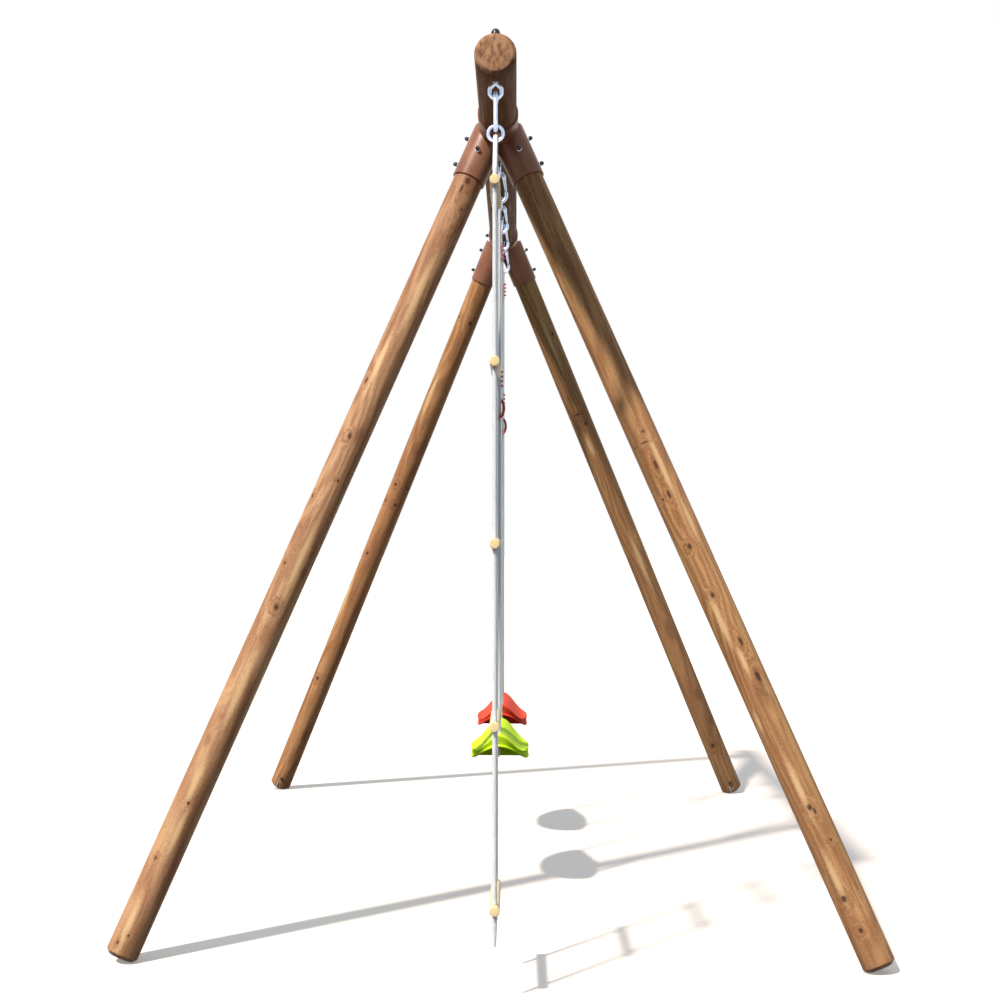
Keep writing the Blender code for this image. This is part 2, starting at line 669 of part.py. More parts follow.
def swing_rope(name, hook_y, hole_y, adjustable, pivot):
    """One swing rope, whole: knotted under the seat, looped over the hook and clamped to itself."""
    points, swells = seat_end(hole_y)
    lean = math.copysign(1, hole_y - hook_y)
    half = COIL_HEIGHT / 2
    if adjustable:
        reach = ADJUSTER_HALF_HEIGHT - ADJUSTER_WIRE
        upper, lower = ADJUSTER_HEIGHT + reach, ADJUSTER_HEIGHT - reach
        side = ADJUSTER_WIRE + ROPE_RADIUS + GAP
        cross = math.degrees(math.asin((STANDING_OFFSET + side) / (2 * reach)))
        bend = ADJUSTER_WIRE + ROPE_RADIUS + LOOP_CLEARANCE
        points += arc((hook_y, lower), side, 0, cross, 2)
        points += arc((hook_y, upper), STANDING_OFFSET, 180 + cross, 180, 2)
        top = ADJUSTABLE_COIL_HEIGHT + half
        points.append(Vector((0, hook_y - STANDING_OFFSET, top + STRAND_LEAD)))
        points += arc((hook_y, BAR_HEIGHT), BAR_LOOP, 180, 0, 6)
        points.append(Vector((0, hook_y + STRAND, top + STRAND_LEAD)))
        points.append(Vector((0, hook_y + STRAND, ADJUSTABLE_COIL_HEIGHT - half)))
        points += arc((hook_y, upper), bend, 0, -180, 6)
        points.append(Vector((0, hook_y - STRAND, ADJUSTABLE_COIL_HEIGHT - half)))
        points.append(Vector((0, hook_y - STRAND, top + STRAND_END)))
    else:
        low, top = FIXED_COIL_HEIGHT - half, FIXED_COIL_HEIGHT + half
        points.append(Vector((0, hook_y + lean * STRAND, low - STRAND_LEAN)))
        points.append(Vector((0, hook_y + lean * STRAND, top)))
        start, stop = (0, 180) if lean > 0 else (180, 0)
        points += arc((hook_y, BAR_HEIGHT), BAR_LOOP, start, stop, 6)
        points.append(Vector((0, hook_y - lean * STRAND, top)))
        points.append(Vector((0, hook_y - lean * STRAND, low - STRAND_END)))
    points = [p - pivot.location for p in points]
    mesh = smooth(tube(name, points, ROPE_RADIUS, 2, swells=swells), 60)
    piece(name, mesh, ROPE, pivot.location, carrier=pivot)


def coil_points():
    """A winding round two strands that lie one behind the other along Y, centred on the origin."""
    per_end = 5
    turn = []
    for side in (1, -1):
        for i in range(per_end + 1):
            angle = math.pi * i / per_end + (0 if side > 0 else math.pi)
            turn.append((-COIL_RADIUS * math.cos(angle), -side * STRAND - COIL_RADIUS * math.sin(angle)))
    lengths = [math.dist(turn[i], turn[(i + 1) % len(turn)]) for i in range(len(turn))]
    around = sum(lengths)
    points = [Vector((-COIL_RADIUS, 0, -COIL_HEIGHT / 2))]
    for loop in range(COIL_TURNS):
        gone = STRAND
        for (x, y), length in zip(turn, lengths):
            height = (loop + gone / around) * COIL_PITCH - COIL_HEIGHT / 2
            points.append(Vector((x, y, height)))
            gone += length
    points.append(Vector((-COIL_RADIUS, 0, COIL_HEIGHT / 2)))
    return points


def least_coil_gap(points):
    """The least free space between turns of the winding, measured on its points."""
    per_turn = (len(points) - 2) // COIL_TURNS
    spans = [
        (points[i] - points[j]).length
        for i in range(len(points))
        for j in range(i + per_turn // 2, len(points))
    ]
    return min(spans) - 2 * COIL_WIRE


def adjuster_mesh():
    """An oval ring in the XZ plane that holds the end of an adjustable rope."""
    steps = 20
    wide, tall = ADJUSTER_HALF_WIDTH - ADJUSTER_WIRE, ADJUSTER_HALF_HEIGHT - ADJUSTER_WIRE
    angles = [2 * math.pi * i / steps for i in range(steps)]
    points = [Vector((wide * math.cos(a), 0, tall * math.sin(a))) for a in angles]
    return smooth(tube("adjuster", points, ADJUSTER_WIRE, 2, closed=True), 60)


# Rope ladder


def ring_mesh():
    bpy.ops.mesh.primitive_torus_add(
        major_segments=20, minor_segments=8, major_radius=RING_RADIUS, minor_radius=RING_WIRE
    )
    obj = bpy.context.object
    mesh = obj.data.copy()
    bpy.data.objects.remove(obj)
    mesh.transform(Matrix.Rotation(math.radians(90), 4, "X"))
    return smooth(mesh, 60)


def rung_mesh():
    """A round rung along Y with an upright rope hole near each end."""
    bar = cylinder("rung", RUNG_RADIUS, -RUNG_LENGTH / 2, RUNG_LENGTH / 2, 14, "Y")
    obj = bpy.data.objects.new("rung", bar)
    edge = obj.modifiers.new("edge", "BEVEL")
    edge.width = RUNG_EDGE
    edge.segments = 1
    edge.limit_method = "ANGLE"
    edge.angle_limit = math.radians(60)
    holes = []
    for side in (-1, 1):
        hole = cylinder("rope_hole", RUNG_BORE, -2 * RUNG_RADIUS, 2 * RUNG_RADIUS, 8)
        hole.transform(Matrix.Translation((0, side * LADDER_HALF, 0)))
        holes.append(hole)
    return smooth(shaped(evaluated_mesh(obj), cuts=holes))


def ladder_rope(pivot):
    """The ladder's rope, whole: over the ring and down through both ends of every rung."""
    y = LADDER_PLACE
    ring_bar = RING_HEIGHT - RING_RADIUS
    loop = RING_WIRE + ROPE_RADIUS + GAP
    bend = LADDER_BEND
    knee = TOP_RUNG + RUNG_RADIUS + LADDER_KNEE
    fall = math.atan2(ring_bar - knee, LADDER_HALF)
    leave = 90 - math.degrees(fall)
    top_points = arc((y, ring_bar), loop, 180 - leave, leave, 4)
    front, rear = y - LADDER_HALF, y + LADDER_HALF
    left = [Vector((0, front, LADDER_TAIL_FOOT)), Vector((0, front, knee)), top_points[0]]
    right = [top_points[-1], Vector((0, rear, knee)), Vector((0, rear, LADDER_TAIL_FOOT))]
    points = [left[0]] + fillet(*left, bend, 4) + top_points + fillet(*right, bend, 4) + [right[2]]
    points = [p - pivot.location for p in points]
    mesh = smooth(tube("ladder_rope", points, ROPE_RADIUS, 2), 60)
    piece("ladder_rope", mesh, ROPE, pivot.location, carrier=pivot)


# Ground anchors


def anchor_head(side, end):
    """The place on a leg's inner face where its anchor is screwed on, and the way out of the leg there."""
    place, down, _ = leg_frame(side, end)
    inward = Vector((0, -end, 0))
    out = (inward - down * inward.dot(down)).normalized()
    along = (BEAM_HEIGHT + out.z * LEG_RADIUS - ANCHOR_HEAD_HEIGHT) / -down.z
    return place + down * along + out * LEG_RADIUS, out


def anchor_mesh(side, end):
    """A stamped strap: a round head with a hole, and a ribbed stem down the leg to the ground."""
    _, down, _ = leg_frame(side, end)
    head, out = anchor_head(side, end)
    length = (head.z - ANCHOR_FOOT) / -down.z
    low, high = GAP, GAP + ANCHOR_THICKNESS
    plate = cylinder("anchor", ANCHOR_HEAD_RADIUS, low, high, 20)
    half = ANCHOR_STEM_WIDTH / 2
    stem = box("stem", (-half, 0, low), (half, length + 2 * CUT_MARGIN, high))
    rib_half, rib_top = ANCHOR_RIB_WIDTH / 2, high + ANCHOR_RIB_HEIGHT
    start, stop = ANCHOR_HEAD_RADIUS, length + 2 * CUT_MARGIN
    ribs = [
        box("rib", (middle - rib_half, start, low), (middle + rib_half, stop, rib_top))
        for middle in (rib_half - half, half - rib_half)
    ]
    across = down.cross(out)
    frame = Matrix((across, down, out)).transposed().to_4x4()
    hole = cylinder("hole", ANCHOR_SCREW_RADIUS + BORE_CLEARANCE, -CUT_MARGIN, 2 * CUT_MARGIN, 12)
    wide = 4 * ANCHOR_STEM_WIDTH
    ground = box("ground", (-wide, -wide, -2 * wide), (wide, wide, ANCHOR_FOOT - head.z))
    ground.transform(frame.inverted())
    mesh = shaped(plate, joins=[stem, *ribs], cuts=[hole, ground])
    mesh.transform(frame)
    return smooth(mesh)


def anchor_screw_mesh():
    """A round-headed screw along +Z, the underside of its head at the top of the strap."""
    seat = 2 * GAP + ANCHOR_THICKNESS
    top = seat + ANCHOR_SCREW_HEAD_HEIGHT
    head, height = ANCHOR_SCREW_HEAD, ANCHOR_SCREW_HEAD_HEIGHT
    profile = [(0, top), (0.6 * head, top - 0.12 * height), (head, top - 0.5 * height)]
    profile += [(head, seat), (ANCHOR_SCREW_RADIUS, seat)]
    profile += [(ANCHOR_SCREW_RADIUS, -ANCHOR_SCREW_LENGTH + ANCHOR_SCREW_TIP), (0, -ANCHOR_SCREW_LENGTH)]
    return smooth(turned("anchor_screw", profile, 8))


def make_anchors():
    screw = anchor_screw_mesh()
    for (side, side_name), (end, end_name) in LEGS:
        head, out = anchor_head(side, end)
        name = f"{end_name}_{side_name}"
        piece(f"anchor_{name}", anchor_mesh(side, end), GALVANISED, head)
        piece(f"anchor_screw_{name}", screw, BLACK_PLASTIC, head, out.to_track_quat("Z", "Y"))


# The set put together

SIDES = ((-1, "left"), (1, "right"))
ENDS = ((-1, "front"), (1, "rear"))
LEGS = [(side, end) for end in ENDS for side in SIDES]
EYE_PLACES = {"ladder": LADDER_PLACE}
for colour, centre in SWING_CENTRES.items():
    EYE_PLACES[f"{colour}_front"] = centre - HOOK_SPACING / 2
    EYE_PLACES[f"{colour}_rear"] = centre + HOOK_SPACING / 2
QUARTER_TURN = Matrix.Rotation(math.radians(90), 3, "Z").to_quaternion()


def make_frame():
    make_beam()
    for (side, side_name), (end, end_name) in LEGS:
        make_leg(f"leg_{end_name}_{side_name}", side, end)
    make_brackets()
    make_anchors()
    eye, cap = eye_mesh(), cap_mesh()
    for name, along in EYE_PLACES.items():
        turn = None if name == "ladder" else QUARTER_TURN
        piece(f"eye_{name}", eye, ZINC, (0, along, HINGE_HEIGHT), turn)
        piece(f"cap_{name}", cap, BLACK_PLASTIC, (0, along, BEAM_HEIGHT + BEAM_RADIUS + GAP))


def make_hook(name, along, turn, carrier, hook, gate):
    """A snap hook on a pivot empty, with its gate on the rivet's axis."""
    place = Vector((0, along, HINGE_HEIGHT))
    piece(f"hook_{name}", hook, ZINC, place, turn, carrier)
    offset = GATE_PIVOT.copy()
    if turn is not None:
        offset.rotate(turn)
    piece(f"gate_{name}", gate, ZINC, place + offset, turn, carrier)


def make_swing(colour, plastic, seat, hook, gate, coil, adjuster):
    centre = SWING_CENTRES[colour]
    pivot = empty(f"{colour}_swing_pivot", (0, centre, HINGE_HEIGHT))
    piece(f"seat_{colour}", seat, plastic, (0, centre, 0), carrier=pivot)
    for side, end in ENDS:
        name = f"{colour}_{end}"
        hook_y, hole_y = centre + side * HOOK_SPACING / 2, centre + side * HOLE_SPACING / 2
        make_hook(name, hook_y, None, pivot, hook, gate)
        adjustable = side < 0
        swing_rope(f"rope_{name}", hook_y, hole_y, adjustable, pivot)
        height = ADJUSTABLE_COIL_HEIGHT if adjustable else FIXED_COIL_HEIGHT
        piece(f"coil_{name}", coil, CLAMP_RED, (0, hook_y, height), carrier=pivot)
    front = centre - HOOK_SPACING / 2
    piece(f"adjuster_{colour}", adjuster, CLAMP_RED, (0, front, ADJUSTER_HEIGHT), carrier=pivot)


def make_ladder(hook, gate):
    hook_pivot = empty("ladder_hook_pivot", (0, LADDER_PLACE, HINGE_HEIGHT))
    make_hook("ladder", LADDER_PLACE, QUARTER_TURN, hook_pivot, hook, gate)
    pivot = empty("ladder_pivot", (0, LADDER_PLACE, BAR_HEIGHT))
    piece("ladder_ring", ring_mesh(), ZINC, (0, LADDER_PLACE, RING_HEIGHT), carrier=pivot)
    ladder_rope(pivot)
    rung = rung_mesh()
    for i in range(RUNG_COUNT):
        place = (0, LADDER_PLACE, TOP_RUNG - i * RUNG_PITCH)
        piece(f"rung_{i + 1}", rung, RUNG_WOOD, place, carrier=pivot)


def main():
    make_frame()
    hook, gate = hook_mesh(), gate_mesh()
    winding = coil_points()
    print(f"least gap between a coil's turns: {1000 * least_coil_gap(winding):.2f} mm")
    coil = smooth(tube("coil", winding, COIL_WIRE, 1), 60)
    adjuster = adjuster_mesh()
    make_swing("green", GREEN_PLASTIC, seat_mesh("seat_green"), hook, gate, coil, adjuster)
    make_swing("red", RED_PLASTIC, seat_mesh("seat_red"), hook, gate, coil, adjuster)
    make_ladder(hook, gate)


main()
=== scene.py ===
"""Looks of the wooden swing set: stained timber, rust-painted corner sleeves, moulded seats and braided rope.

Metres, in the frame's own coordinates, with +Z up. Sizes repeat the model's own; places come from the frame's
joints, and each piece is built in its own axes and then placed.
"""

import json
import math

import bmesh
import bpy
from mathutils import Matrix, Quaternion, Vector


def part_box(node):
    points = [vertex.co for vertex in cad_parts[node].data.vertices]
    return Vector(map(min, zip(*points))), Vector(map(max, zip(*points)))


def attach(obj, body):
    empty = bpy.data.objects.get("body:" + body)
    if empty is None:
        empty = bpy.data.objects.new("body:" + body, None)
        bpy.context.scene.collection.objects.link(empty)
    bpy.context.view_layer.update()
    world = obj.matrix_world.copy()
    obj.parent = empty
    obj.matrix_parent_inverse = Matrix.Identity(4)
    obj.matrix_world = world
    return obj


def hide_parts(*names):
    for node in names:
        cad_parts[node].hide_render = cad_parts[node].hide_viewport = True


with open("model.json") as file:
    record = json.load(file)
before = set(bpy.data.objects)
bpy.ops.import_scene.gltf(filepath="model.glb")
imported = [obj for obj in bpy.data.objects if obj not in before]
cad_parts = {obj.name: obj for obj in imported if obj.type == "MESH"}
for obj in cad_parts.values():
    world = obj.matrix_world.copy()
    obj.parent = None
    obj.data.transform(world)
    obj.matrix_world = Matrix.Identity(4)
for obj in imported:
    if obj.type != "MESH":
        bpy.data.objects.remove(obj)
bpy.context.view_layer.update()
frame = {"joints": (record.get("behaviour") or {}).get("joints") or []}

HINGES = {joint["name"]: Vector(joint["pos_m"]) for joint in frame["joints"]}
SWING_CENTRES = {"green": -0.435, "red": 0.365}
MIDDLE = HINGES["green_swing_hinge"].y - SWING_CENTRES["green"]
HINGE_HEIGHT = HINGES["green_swing_hinge"].z
BAR_HEIGHT = HINGES["ladder_hinge"].z
GAP = 0.0003

# Timber
BEAM_RADIUS = 0.050
BEAM_HEIGHT = 2.200
BEAM_CHAMFER = 0.008
LEG_RADIUS = 0.041
LEG_CHAMFER = 0.010
LEG_DOWN = Vector((0.4204, 0.2141, -1.0)).normalized()
LEG_OFFSET = 0.0183
FRAME_HALF = 0.879

# Steel corner sleeves
BEAM_SLEEVE = 0.0545
BEAM_BORE = 0.0505
SLEEVE_HALF = 0.166
LEG_SLEEVE = 0.046
LEG_BORE = 0.0415
LEG_SLEEVE_SPAN = (0.012, 0.170)
RIM_ROUND = 0.0012
OUTER_SCREWS = (0.055, 0.137)
FACE_SCREW = 0.093
FACE_SCREW_TURN = 9
BEAM_SCREW = 0.136

# Eye bolts, snap hooks and rings
EYE_WIRE = 0.00475
EYE_TOP = 0.0330
SHANK_RADIUS = 0.005
SHANK_STAND = 0.014
CAP_RADIUS = 0.0125
CAP_HEIGHT = 0.029
HOOK_WIRE = 0.005
HOOK_TOP = (0.013, -0.00295)
HOOK_BOTTOM = (0.021, -0.05595)
HOOK_FLARE = math.asin((HOOK_BOTTOM[0] - HOOK_TOP[0]) / (HOOK_TOP[1] - HOOK_BOTTOM[1]))
KNOB_RADIUS = 0.0062
GATE_LENGTH = 0.0439
RING_RADIUS = 0.018
RING_WIRE = 0.004

# Ropes and what clamps them
ROPE_RADIUS = 0.0055
TAIL_SHIFT = -0.0025
TAIL_HEIGHTS = (0.417, 0.440)
HOLE_HEIGHTS = (0.451, 0.464, 0.476, 0.489)
KNOT_HEIGHT = 0.4638
STRAND = 0.0058
BAR_LOOP = HOOK_WIRE + ROPE_RADIUS + GAP
HOOK_SPACING = 0.480
HOLE_SPACING = 0.380
COIL_WIRE = 0.003
COIL_RADIUS = 0.0092
COIL_TURNS = 4
COIL_PITCH = 0.0135
FIXED_COIL = 1.972
ADJUSTABLE_COIL = 1.520
ADJUSTER_HEIGHT = 1.434
ADJUSTER_WIRE = 0.004
ADJUSTER_HALVES = (0.0135, 0.026)
STANDING_OFFSET = 0.023

# Seats
SEAT_LENGTH = 0.440
SEAT_WIDTH = 0.174
SEAT_RIDGE = 0.485
SEAT_SHOULDER = 0.428
SEAT_SHOULDER_HALF = 0.080
SEAT_ARCH = 0.4505
SEAT_FLAP = 0.398
SEAT_WALL = 0.004
SEAT_ROLL = 0.003
SEAT_LEAN = 0.05
SEAT_LIP = 0.0036
LIP_SHARE = 1.012
LIP_RISE = 0.0010
ROPE_HOLE = 0.0062
SEAT_TONES = {"green": ("CCF61C", "DAFF2A", "E4FF3C"), "red": ("EE4228", "FA4E30", "FF5C40")}
RIB_FOOT = 0.395

# Rope ladder
LADDER_PLACE = -1.520
RUNG_RADIUS = 0.012
RUNG_LENGTH = 0.300
RUNGS = 5
TOP_RUNG = 1.885
RUNG_PITCH = 0.418
LADDER_HALF = 0.127
LADDER_TAIL_FOOT = 0.127

HANGERS = {"ladder": LADDER_PLACE}
for swing, middle in SWING_CENTRES.items():
    HANGERS[swing + "_front"] = middle - HOOK_SPACING / 2
    HANGERS[swing + "_rear"] = middle + HOOK_SPACING / 2

# Ground anchors
ANCHOR_HEAD_RADIUS = 0.017
ANCHOR_HEAD_HEIGHT = 0.049
ANCHOR_STEM_WIDTH = 0.022
ANCHOR_THICKNESS = 0.0025
ANCHOR_FOOT = 0.0015

# The camera, the light and the floor
CAMERA_PLACE = (0.0499, -5.3222, 1.0801)
CAMERA_YAW = -0.0477
CAMERA_PITCH = 0.0188
CAMERA_ROLL = 0.0011
FOCAL_PIXELS = 1600
FRAME_PIXELS = 1000
CENTRE_COLUMN = 440.09
SUN_TRAVEL = (0.53, 0.71, -1.0)
SUN_STRENGTH = 4.6
SUN_WIDTH = 2.4
SUN_COLOUR = (1.0, 0.97, 0.92)
FILL_RISE = (0.0, -0.45, 0.75)
FILL_SPAN = (-0.35, 0.8)
FILL_LOW = (0.09, 0.11, 0.13, 1)
FILL_HIGH = (0.40, 0.49, 0.56, 1)
FLOOR_SIZE = 60
FLOOR_LIT = (0.05, 0.05, 0.05, 1)
FLOOR_SEEN = (0.80, 0.67, 0.59, 1)
FLOOR_GLOW = 0.25
WHITE = (1, 1, 1, 1)

ALONG_BEAM = Matrix(((1, 0, 0), (0, 0, -1), (0, 1, 0))).to_quaternion()


def spot(x, y, z):
    """A place given from the point midway between the two A-frames."""
    return Vector((x, y + MIDDLE, z))


# Camera, light and floor


def camera_axes():
    """The ways right, up and ahead from the camera."""
    cos, sin = math.cos, math.sin
    level = cos(CAMERA_PITCH)
    ahead = Vector((sin(CAMERA_YAW) * level, cos(CAMERA_YAW) * level, sin(CAMERA_PITCH)))
    right = Vector((cos(CAMERA_YAW), -sin(CAMERA_YAW), 0))
    up = right.cross(ahead)
    rolled_right = right * cos(CAMERA_ROLL) + up * sin(CAMERA_ROLL)
    rolled_up = up * cos(CAMERA_ROLL) - right * sin(CAMERA_ROLL)
    return rolled_right, rolled_up, ahead


def make_camera():
    """The photograph's own view: its place, direction and off-centre crop."""
    data = bpy.data.cameras.new("camera")
    data.sensor_width = 36
    data.lens = data.sensor_width * FOCAL_PIXELS / FRAME_PIXELS
    data.shift_x = 0.5 - CENTRE_COLUMN / FRAME_PIXELS
    data.clip_end = 200
    camera = linked("camera", data)
    right, up, ahead = camera_axes()
    turn = Matrix((right, up, -ahead)).transposed().to_4x4()
    camera.matrix_world = Matrix.Translation(spot(*CAMERA_PLACE)) @ turn
    bpy.context.scene.camera = camera


class Graph:
    """A material's nodes, made and joined in short calls."""

    def __init__(self, name, tree=None):
        if tree is None:
            self.material = bpy.data.materials.new(name)
            self.material.use_nodes = True
            tree = self.material.node_tree
        self.tree = tree
        self.shader = tree.nodes.get("Principled BSDF")

    def node(self, kind, *values, **settings):
        """A new node with its settings made and its first inputs fed."""
        made = self.tree.nodes.new("ShaderNode" + kind)
        for key, value in settings.items():
            setattr(made, key, value)
        for socket, value in zip(made.inputs, values):
            self.feed(socket, value)
        return made

    def feed(self, socket, value):
        if isinstance(value, bpy.types.NodeSocket):
            self.tree.links.new(value, socket)
        else:
            socket.default_value = value

    def math(self, operation, *values):
        return self.node("Math", *values, operation=operation).outputs[0]

    def times(self, a, b):
        return self.math("MULTIPLY", a, b)

    def vector(self, operation, *values):
        made = self.node("VectorMath", *values, operation=operation)
        return made.outputs["Value" if operation in ("LENGTH", "DOT_PRODUCT") else "Vector"]

    def combine(self, x, y, z):
        return self.node("CombineXYZ", x, y, z).outputs[0]

    def split(self, vector):
        return self.node("SeparateXYZ", vector).outputs

    def noise(self, vector, scale, detail, roughness=0.5, output="Fac"):
        made = self.node("TexNoise", vector)
        for name, value in (("Scale", scale), ("Detail", detail), ("Roughness", roughness)):
            made.inputs[name].default_value = value
        return made.outputs[output]

    def cells(self, vector, scale):
        made = self.node("TexVoronoi", vector)
        made.inputs["Scale"].default_value = scale
        return made.outputs["Distance"]

    def ease(self, value, low, high, to_low=0.0, to_high=1.0):
        """Value smoothly remapped from one range to another, and held inside it."""
        values = (value, low, high, to_low, to_high)
        return self.node("MapRange", *values, interpolation_type="SMOOTHSTEP").outputs[0]

    def mix(self, share, a, b):
        made = self.node("Mix", share, data_type="RGBA")
        for socket, hue in zip(made.inputs[6:8], (a, b)):
            self.feed(socket, colour(hue) if isinstance(hue, str) else hue)
        return made.outputs[2]

    def ramp(self, value, tones, places=(0.3, 0.5, 0.7)):
        """Three tones at three places along a value."""
        made = self.node("ValToRGB", value)
        elements = made.color_ramp.elements
        elements.new(0.5)
        for element, place, tone in zip(elements, places, tones):
            element.position = place
            element.color = colour(tone)
        return made.outputs[0]

    def bump(self, height, distance):
        made = self.node("Bump")
        made.inputs["Distance"].default_value = distance
        self.feed(made.inputs["Height"], height)
        self.feed(self.shader.inputs["Normal"], made.outputs[0])

    def surface(self, base, roughness, **others):
        """The material, once its shader's sockets are fed by name."""
        for name, value in {"base_color": base, "roughness": roughness, **others}.items():
            self.feed(self.shader.inputs[name.replace("_", " ").title().replace("Ior", "IOR")], value)
        return self.material

    def place(self, kind="Object"):
        return self.node("TexCoord").outputs[kind]

    def seen(self):
        """1 where the camera, a reflection or glass shows this, and 0 for the light that it gives."""
        path = self.node("LightPath").outputs
        shown = self.math("MAXIMUM", path["Is Camera Ray"], path["Is Glossy Ray"])
        return self.math("MAXIMUM", shown, path["Is Transmission Ray"])


def colour(text):
    """A linear colour from an sRGB hex string."""
    parts = [int(text[i : i + 2], 16) / 255 for i in (0, 2, 4)]
    linear = [part / 12.92 if part <= 0.04045 else ((part + 0.055) / 1.055) ** 2.4 for part in parts]
    return (*linear, 1.0)


def make_light():
    """A soft sun from the front left and above, and a cool fill, brightest from the front and above."""
    data = bpy.data.lights.new("sun", "SUN")
    data.energy = SUN_STRENGTH
    data.angle = math.radians(SUN_WIDTH)
    data.color = SUN_COLOUR
    sun = linked("sun", data)
    sun.rotation_mode = "QUATERNION"
    sun.rotation_quaternion = Vector(SUN_TRAVEL).to_track_quat("-Z", "Y")
    world = bpy.data.worlds.new("studio")
    bpy.context.scene.world = world
    world.use_nodes = True
    graph = Graph("studio", world.node_tree)
    height = graph.vector("DOT_PRODUCT", graph.place("Generated"), FILL_RISE)
    fill = graph.mix(graph.ease(height, *FILL_SPAN), FILL_LOW, FILL_HIGH)
    background = world.node_tree.nodes["Background"]
    graph.feed(background.inputs["Color"], graph.mix(graph.seen(), fill, WHITE))


def make_floor():
    """A white floor that keeps only the object's shadow."""
    work = bmesh.new()
    bmesh.ops.create_grid(work, x_segments=2, y_segments=2, size=FLOOR_SIZE)
    mesh = mesh_of("floor", work)
    floor = linked("floor", mesh)
    graph = Graph("floor")
    seen = graph.seen()
    glow = graph.times(seen, FLOOR_GLOW)
    base = graph.mix(seen, FLOOR_LIT, FLOOR_SEEN)
    graph.surface(base, 1.0, specular_ior_level=0.0, emission_color=WHITE, emission_strength=glow)
    mesh.materials.append(graph.material)


# Shapes


def linked(name, data):
    """A new object in the scene."""
    made = bpy.data.objects.new(name, data)
    bpy.context.scene.collection.objects.link(made)
    return made


def mesh_of(name, work):
    """A new mesh from a bmesh, which is freed."""
    mesh = bpy.data.meshes.new(name)
    work.to_mesh(mesh)
    work.free()
    return mesh


def around(steps, offset=0.0):
    """The angles of even steps round a circle."""
    return [2 * math.pi * (step + offset) / steps for step in range(steps)]


def piece(name, mesh, material, body, slot, *nodes, degrees=40, place=(0, 0, 0), turn=(1, 0, 0, 0)):
    """A smooth mesh with its real edges kept sharp, put in its place on the body that carries it.

    It stands for the nodes. An edge that bends by more than the degrees is a real one.
    """
    mesh.shade_smooth()
    mesh.set_sharp_from_angle(angle=math.radians(degrees))
    mesh.materials.clear()
    mesh.materials.append(material)
    obj = linked(name, mesh)
    obj.rotation_mode = "QUATERNION"
    obj.location = place
    obj.rotation_quaternion = turn
    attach(obj, body)
    if nodes:
        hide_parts(*nodes)


def mesh_from(name, rings, closed_rows=False, caps=True):
    """A mesh from rings of points. Its UV map has u round each ring, and v along them in girths."""
    work = bmesh.new()
    uv = work.loops.layers.uv.new("along")
    rows = [[work.verts.new(point) for point in ring] for ring in rings]
    sides = len(rings[0])
    middles = [sum(ring, Vector()) / sides for ring in rings]
    run = [0.0]
    for a, b in zip(middles, middles[1:] + middles[:1]):
        run.append(run[-1] + (b - a).length)
    girth = sum((rings[0][i] - rings[0][i - 1]).length for i in range(sides)) or 1.0
    for k in range(len(rows) - (0 if closed_rows else 1)):
        low, high = rows[k], rows[(k + 1) % len(rows)]
        for i in range(sides):
            j = (i + 1) % sides
            face = work.faces.new((low[i], low[j], high[j], high[i]))
            corners = ((i, k), (i + 1, k), (i + 1, k + 1), (i, k + 1))
            for loop, (across, along) in zip(face.loops, corners):
                loop[uv].uv = (across / sides, run[along] / girth)
    if caps and not closed_rows:
        work.faces.new(list(reversed(rows[0])))
        work.faces.new(rows[-1])
    bmesh.ops.recalc_face_normals(work, faces=work.faces)
    return mesh_of(name, work)


def sweep(name, points, radius, sides=14, closed=False, normal=(1, 0, 0), flat=1.0, round_ends=False):
    """A tube along points, its section turned as little as it can be. Flat squeezes it along the normal."""
    points = [Vector(point) for point in points]
    count = len(points)
    radii = list(radius) if hasattr(radius, "__len__") else [radius] * count
    if round_ends and not closed:
        for share, size in ((0.75, 0.66), (0.4, 0.92)):
            for end, near, slot in ((0, 1, 1), (-1, -2, -1)):
                inward = (points[near] - points[end]).normalized()
                points.insert(slot, points[end] + inward * radii[end] * (1 - share) * 0.9)
                radii.insert(slot, radii[end] * size)
        radii[0] *= 0.35
        radii[-1] *= 0.35
        count = len(points)
    across = Vector(normal)
    rings = []
    for i, point in enumerate(points):
        before = points[i - 1] if i or closed else point
        after = points[(i + 1) % count] if i < count - 1 or closed else point
        ahead = (after - before).normalized()
        across = (across - ahead * across.dot(ahead)).normalized()
        other = ahead.cross(across)
        ways = [across * math.cos(angle) * flat + other * math.sin(angle) for angle in around(sides)]
        rings.append([point + way * radii[i] for way in ways])
    return mesh_from(name, rings, closed_rows=closed)


def hoop(name, wide, tall, wire, steps, sides):
    """A closed ring of wire in the XZ plane."""
    points = [Vector((wide * math.cos(a), 0, tall * math.sin(a))) for a in around(steps)]
    return sweep(name, points, wire, sides, closed=True, normal=(0, 1, 0))


def lathe(name, profile, sides=48):
    """A closed shape turned about Z from (radius, height) points that start and end on the axis or meet."""
    rings = []
    for radius, height in profile:
        radius = max(radius, 1e-5)
        rings.append([Vector((radius * math.cos(a), radius * math.sin(a), height)) for a in around(sides)])
    return mesh_from(name, rings, closed_rows=profile[0][0] > 0 and profile[-1][0] > 0)


def rounded(radius, low, high, edge, steps=4):
    """The profile of a solid turned bar with rounded ends."""
    quarter = [math.pi / 2 * i / steps for i in range(steps + 1)]
    bottom = [(radius - edge + edge * math.sin(a), low + edge - edge * math.cos(a)) for a in quarter]
    top = [(radius - edge + edge * math.cos(a), high - edge + edge * math.sin(a)) for a in quarter]
    return [(0, low)] + bottom + top + [(0, high)]


def arc(centre, radius, start, stop, steps):
    """Points on an arc in the YZ plane, angles in degrees from +Y towards +Z."""
    angles = [math.radians(start + (stop - start) * i / steps) for i in range(steps + 1)]
    return [Vector((0, centre[0] + radius * math.cos(a), centre[1] + radius * math.sin(a))) for a in angles]


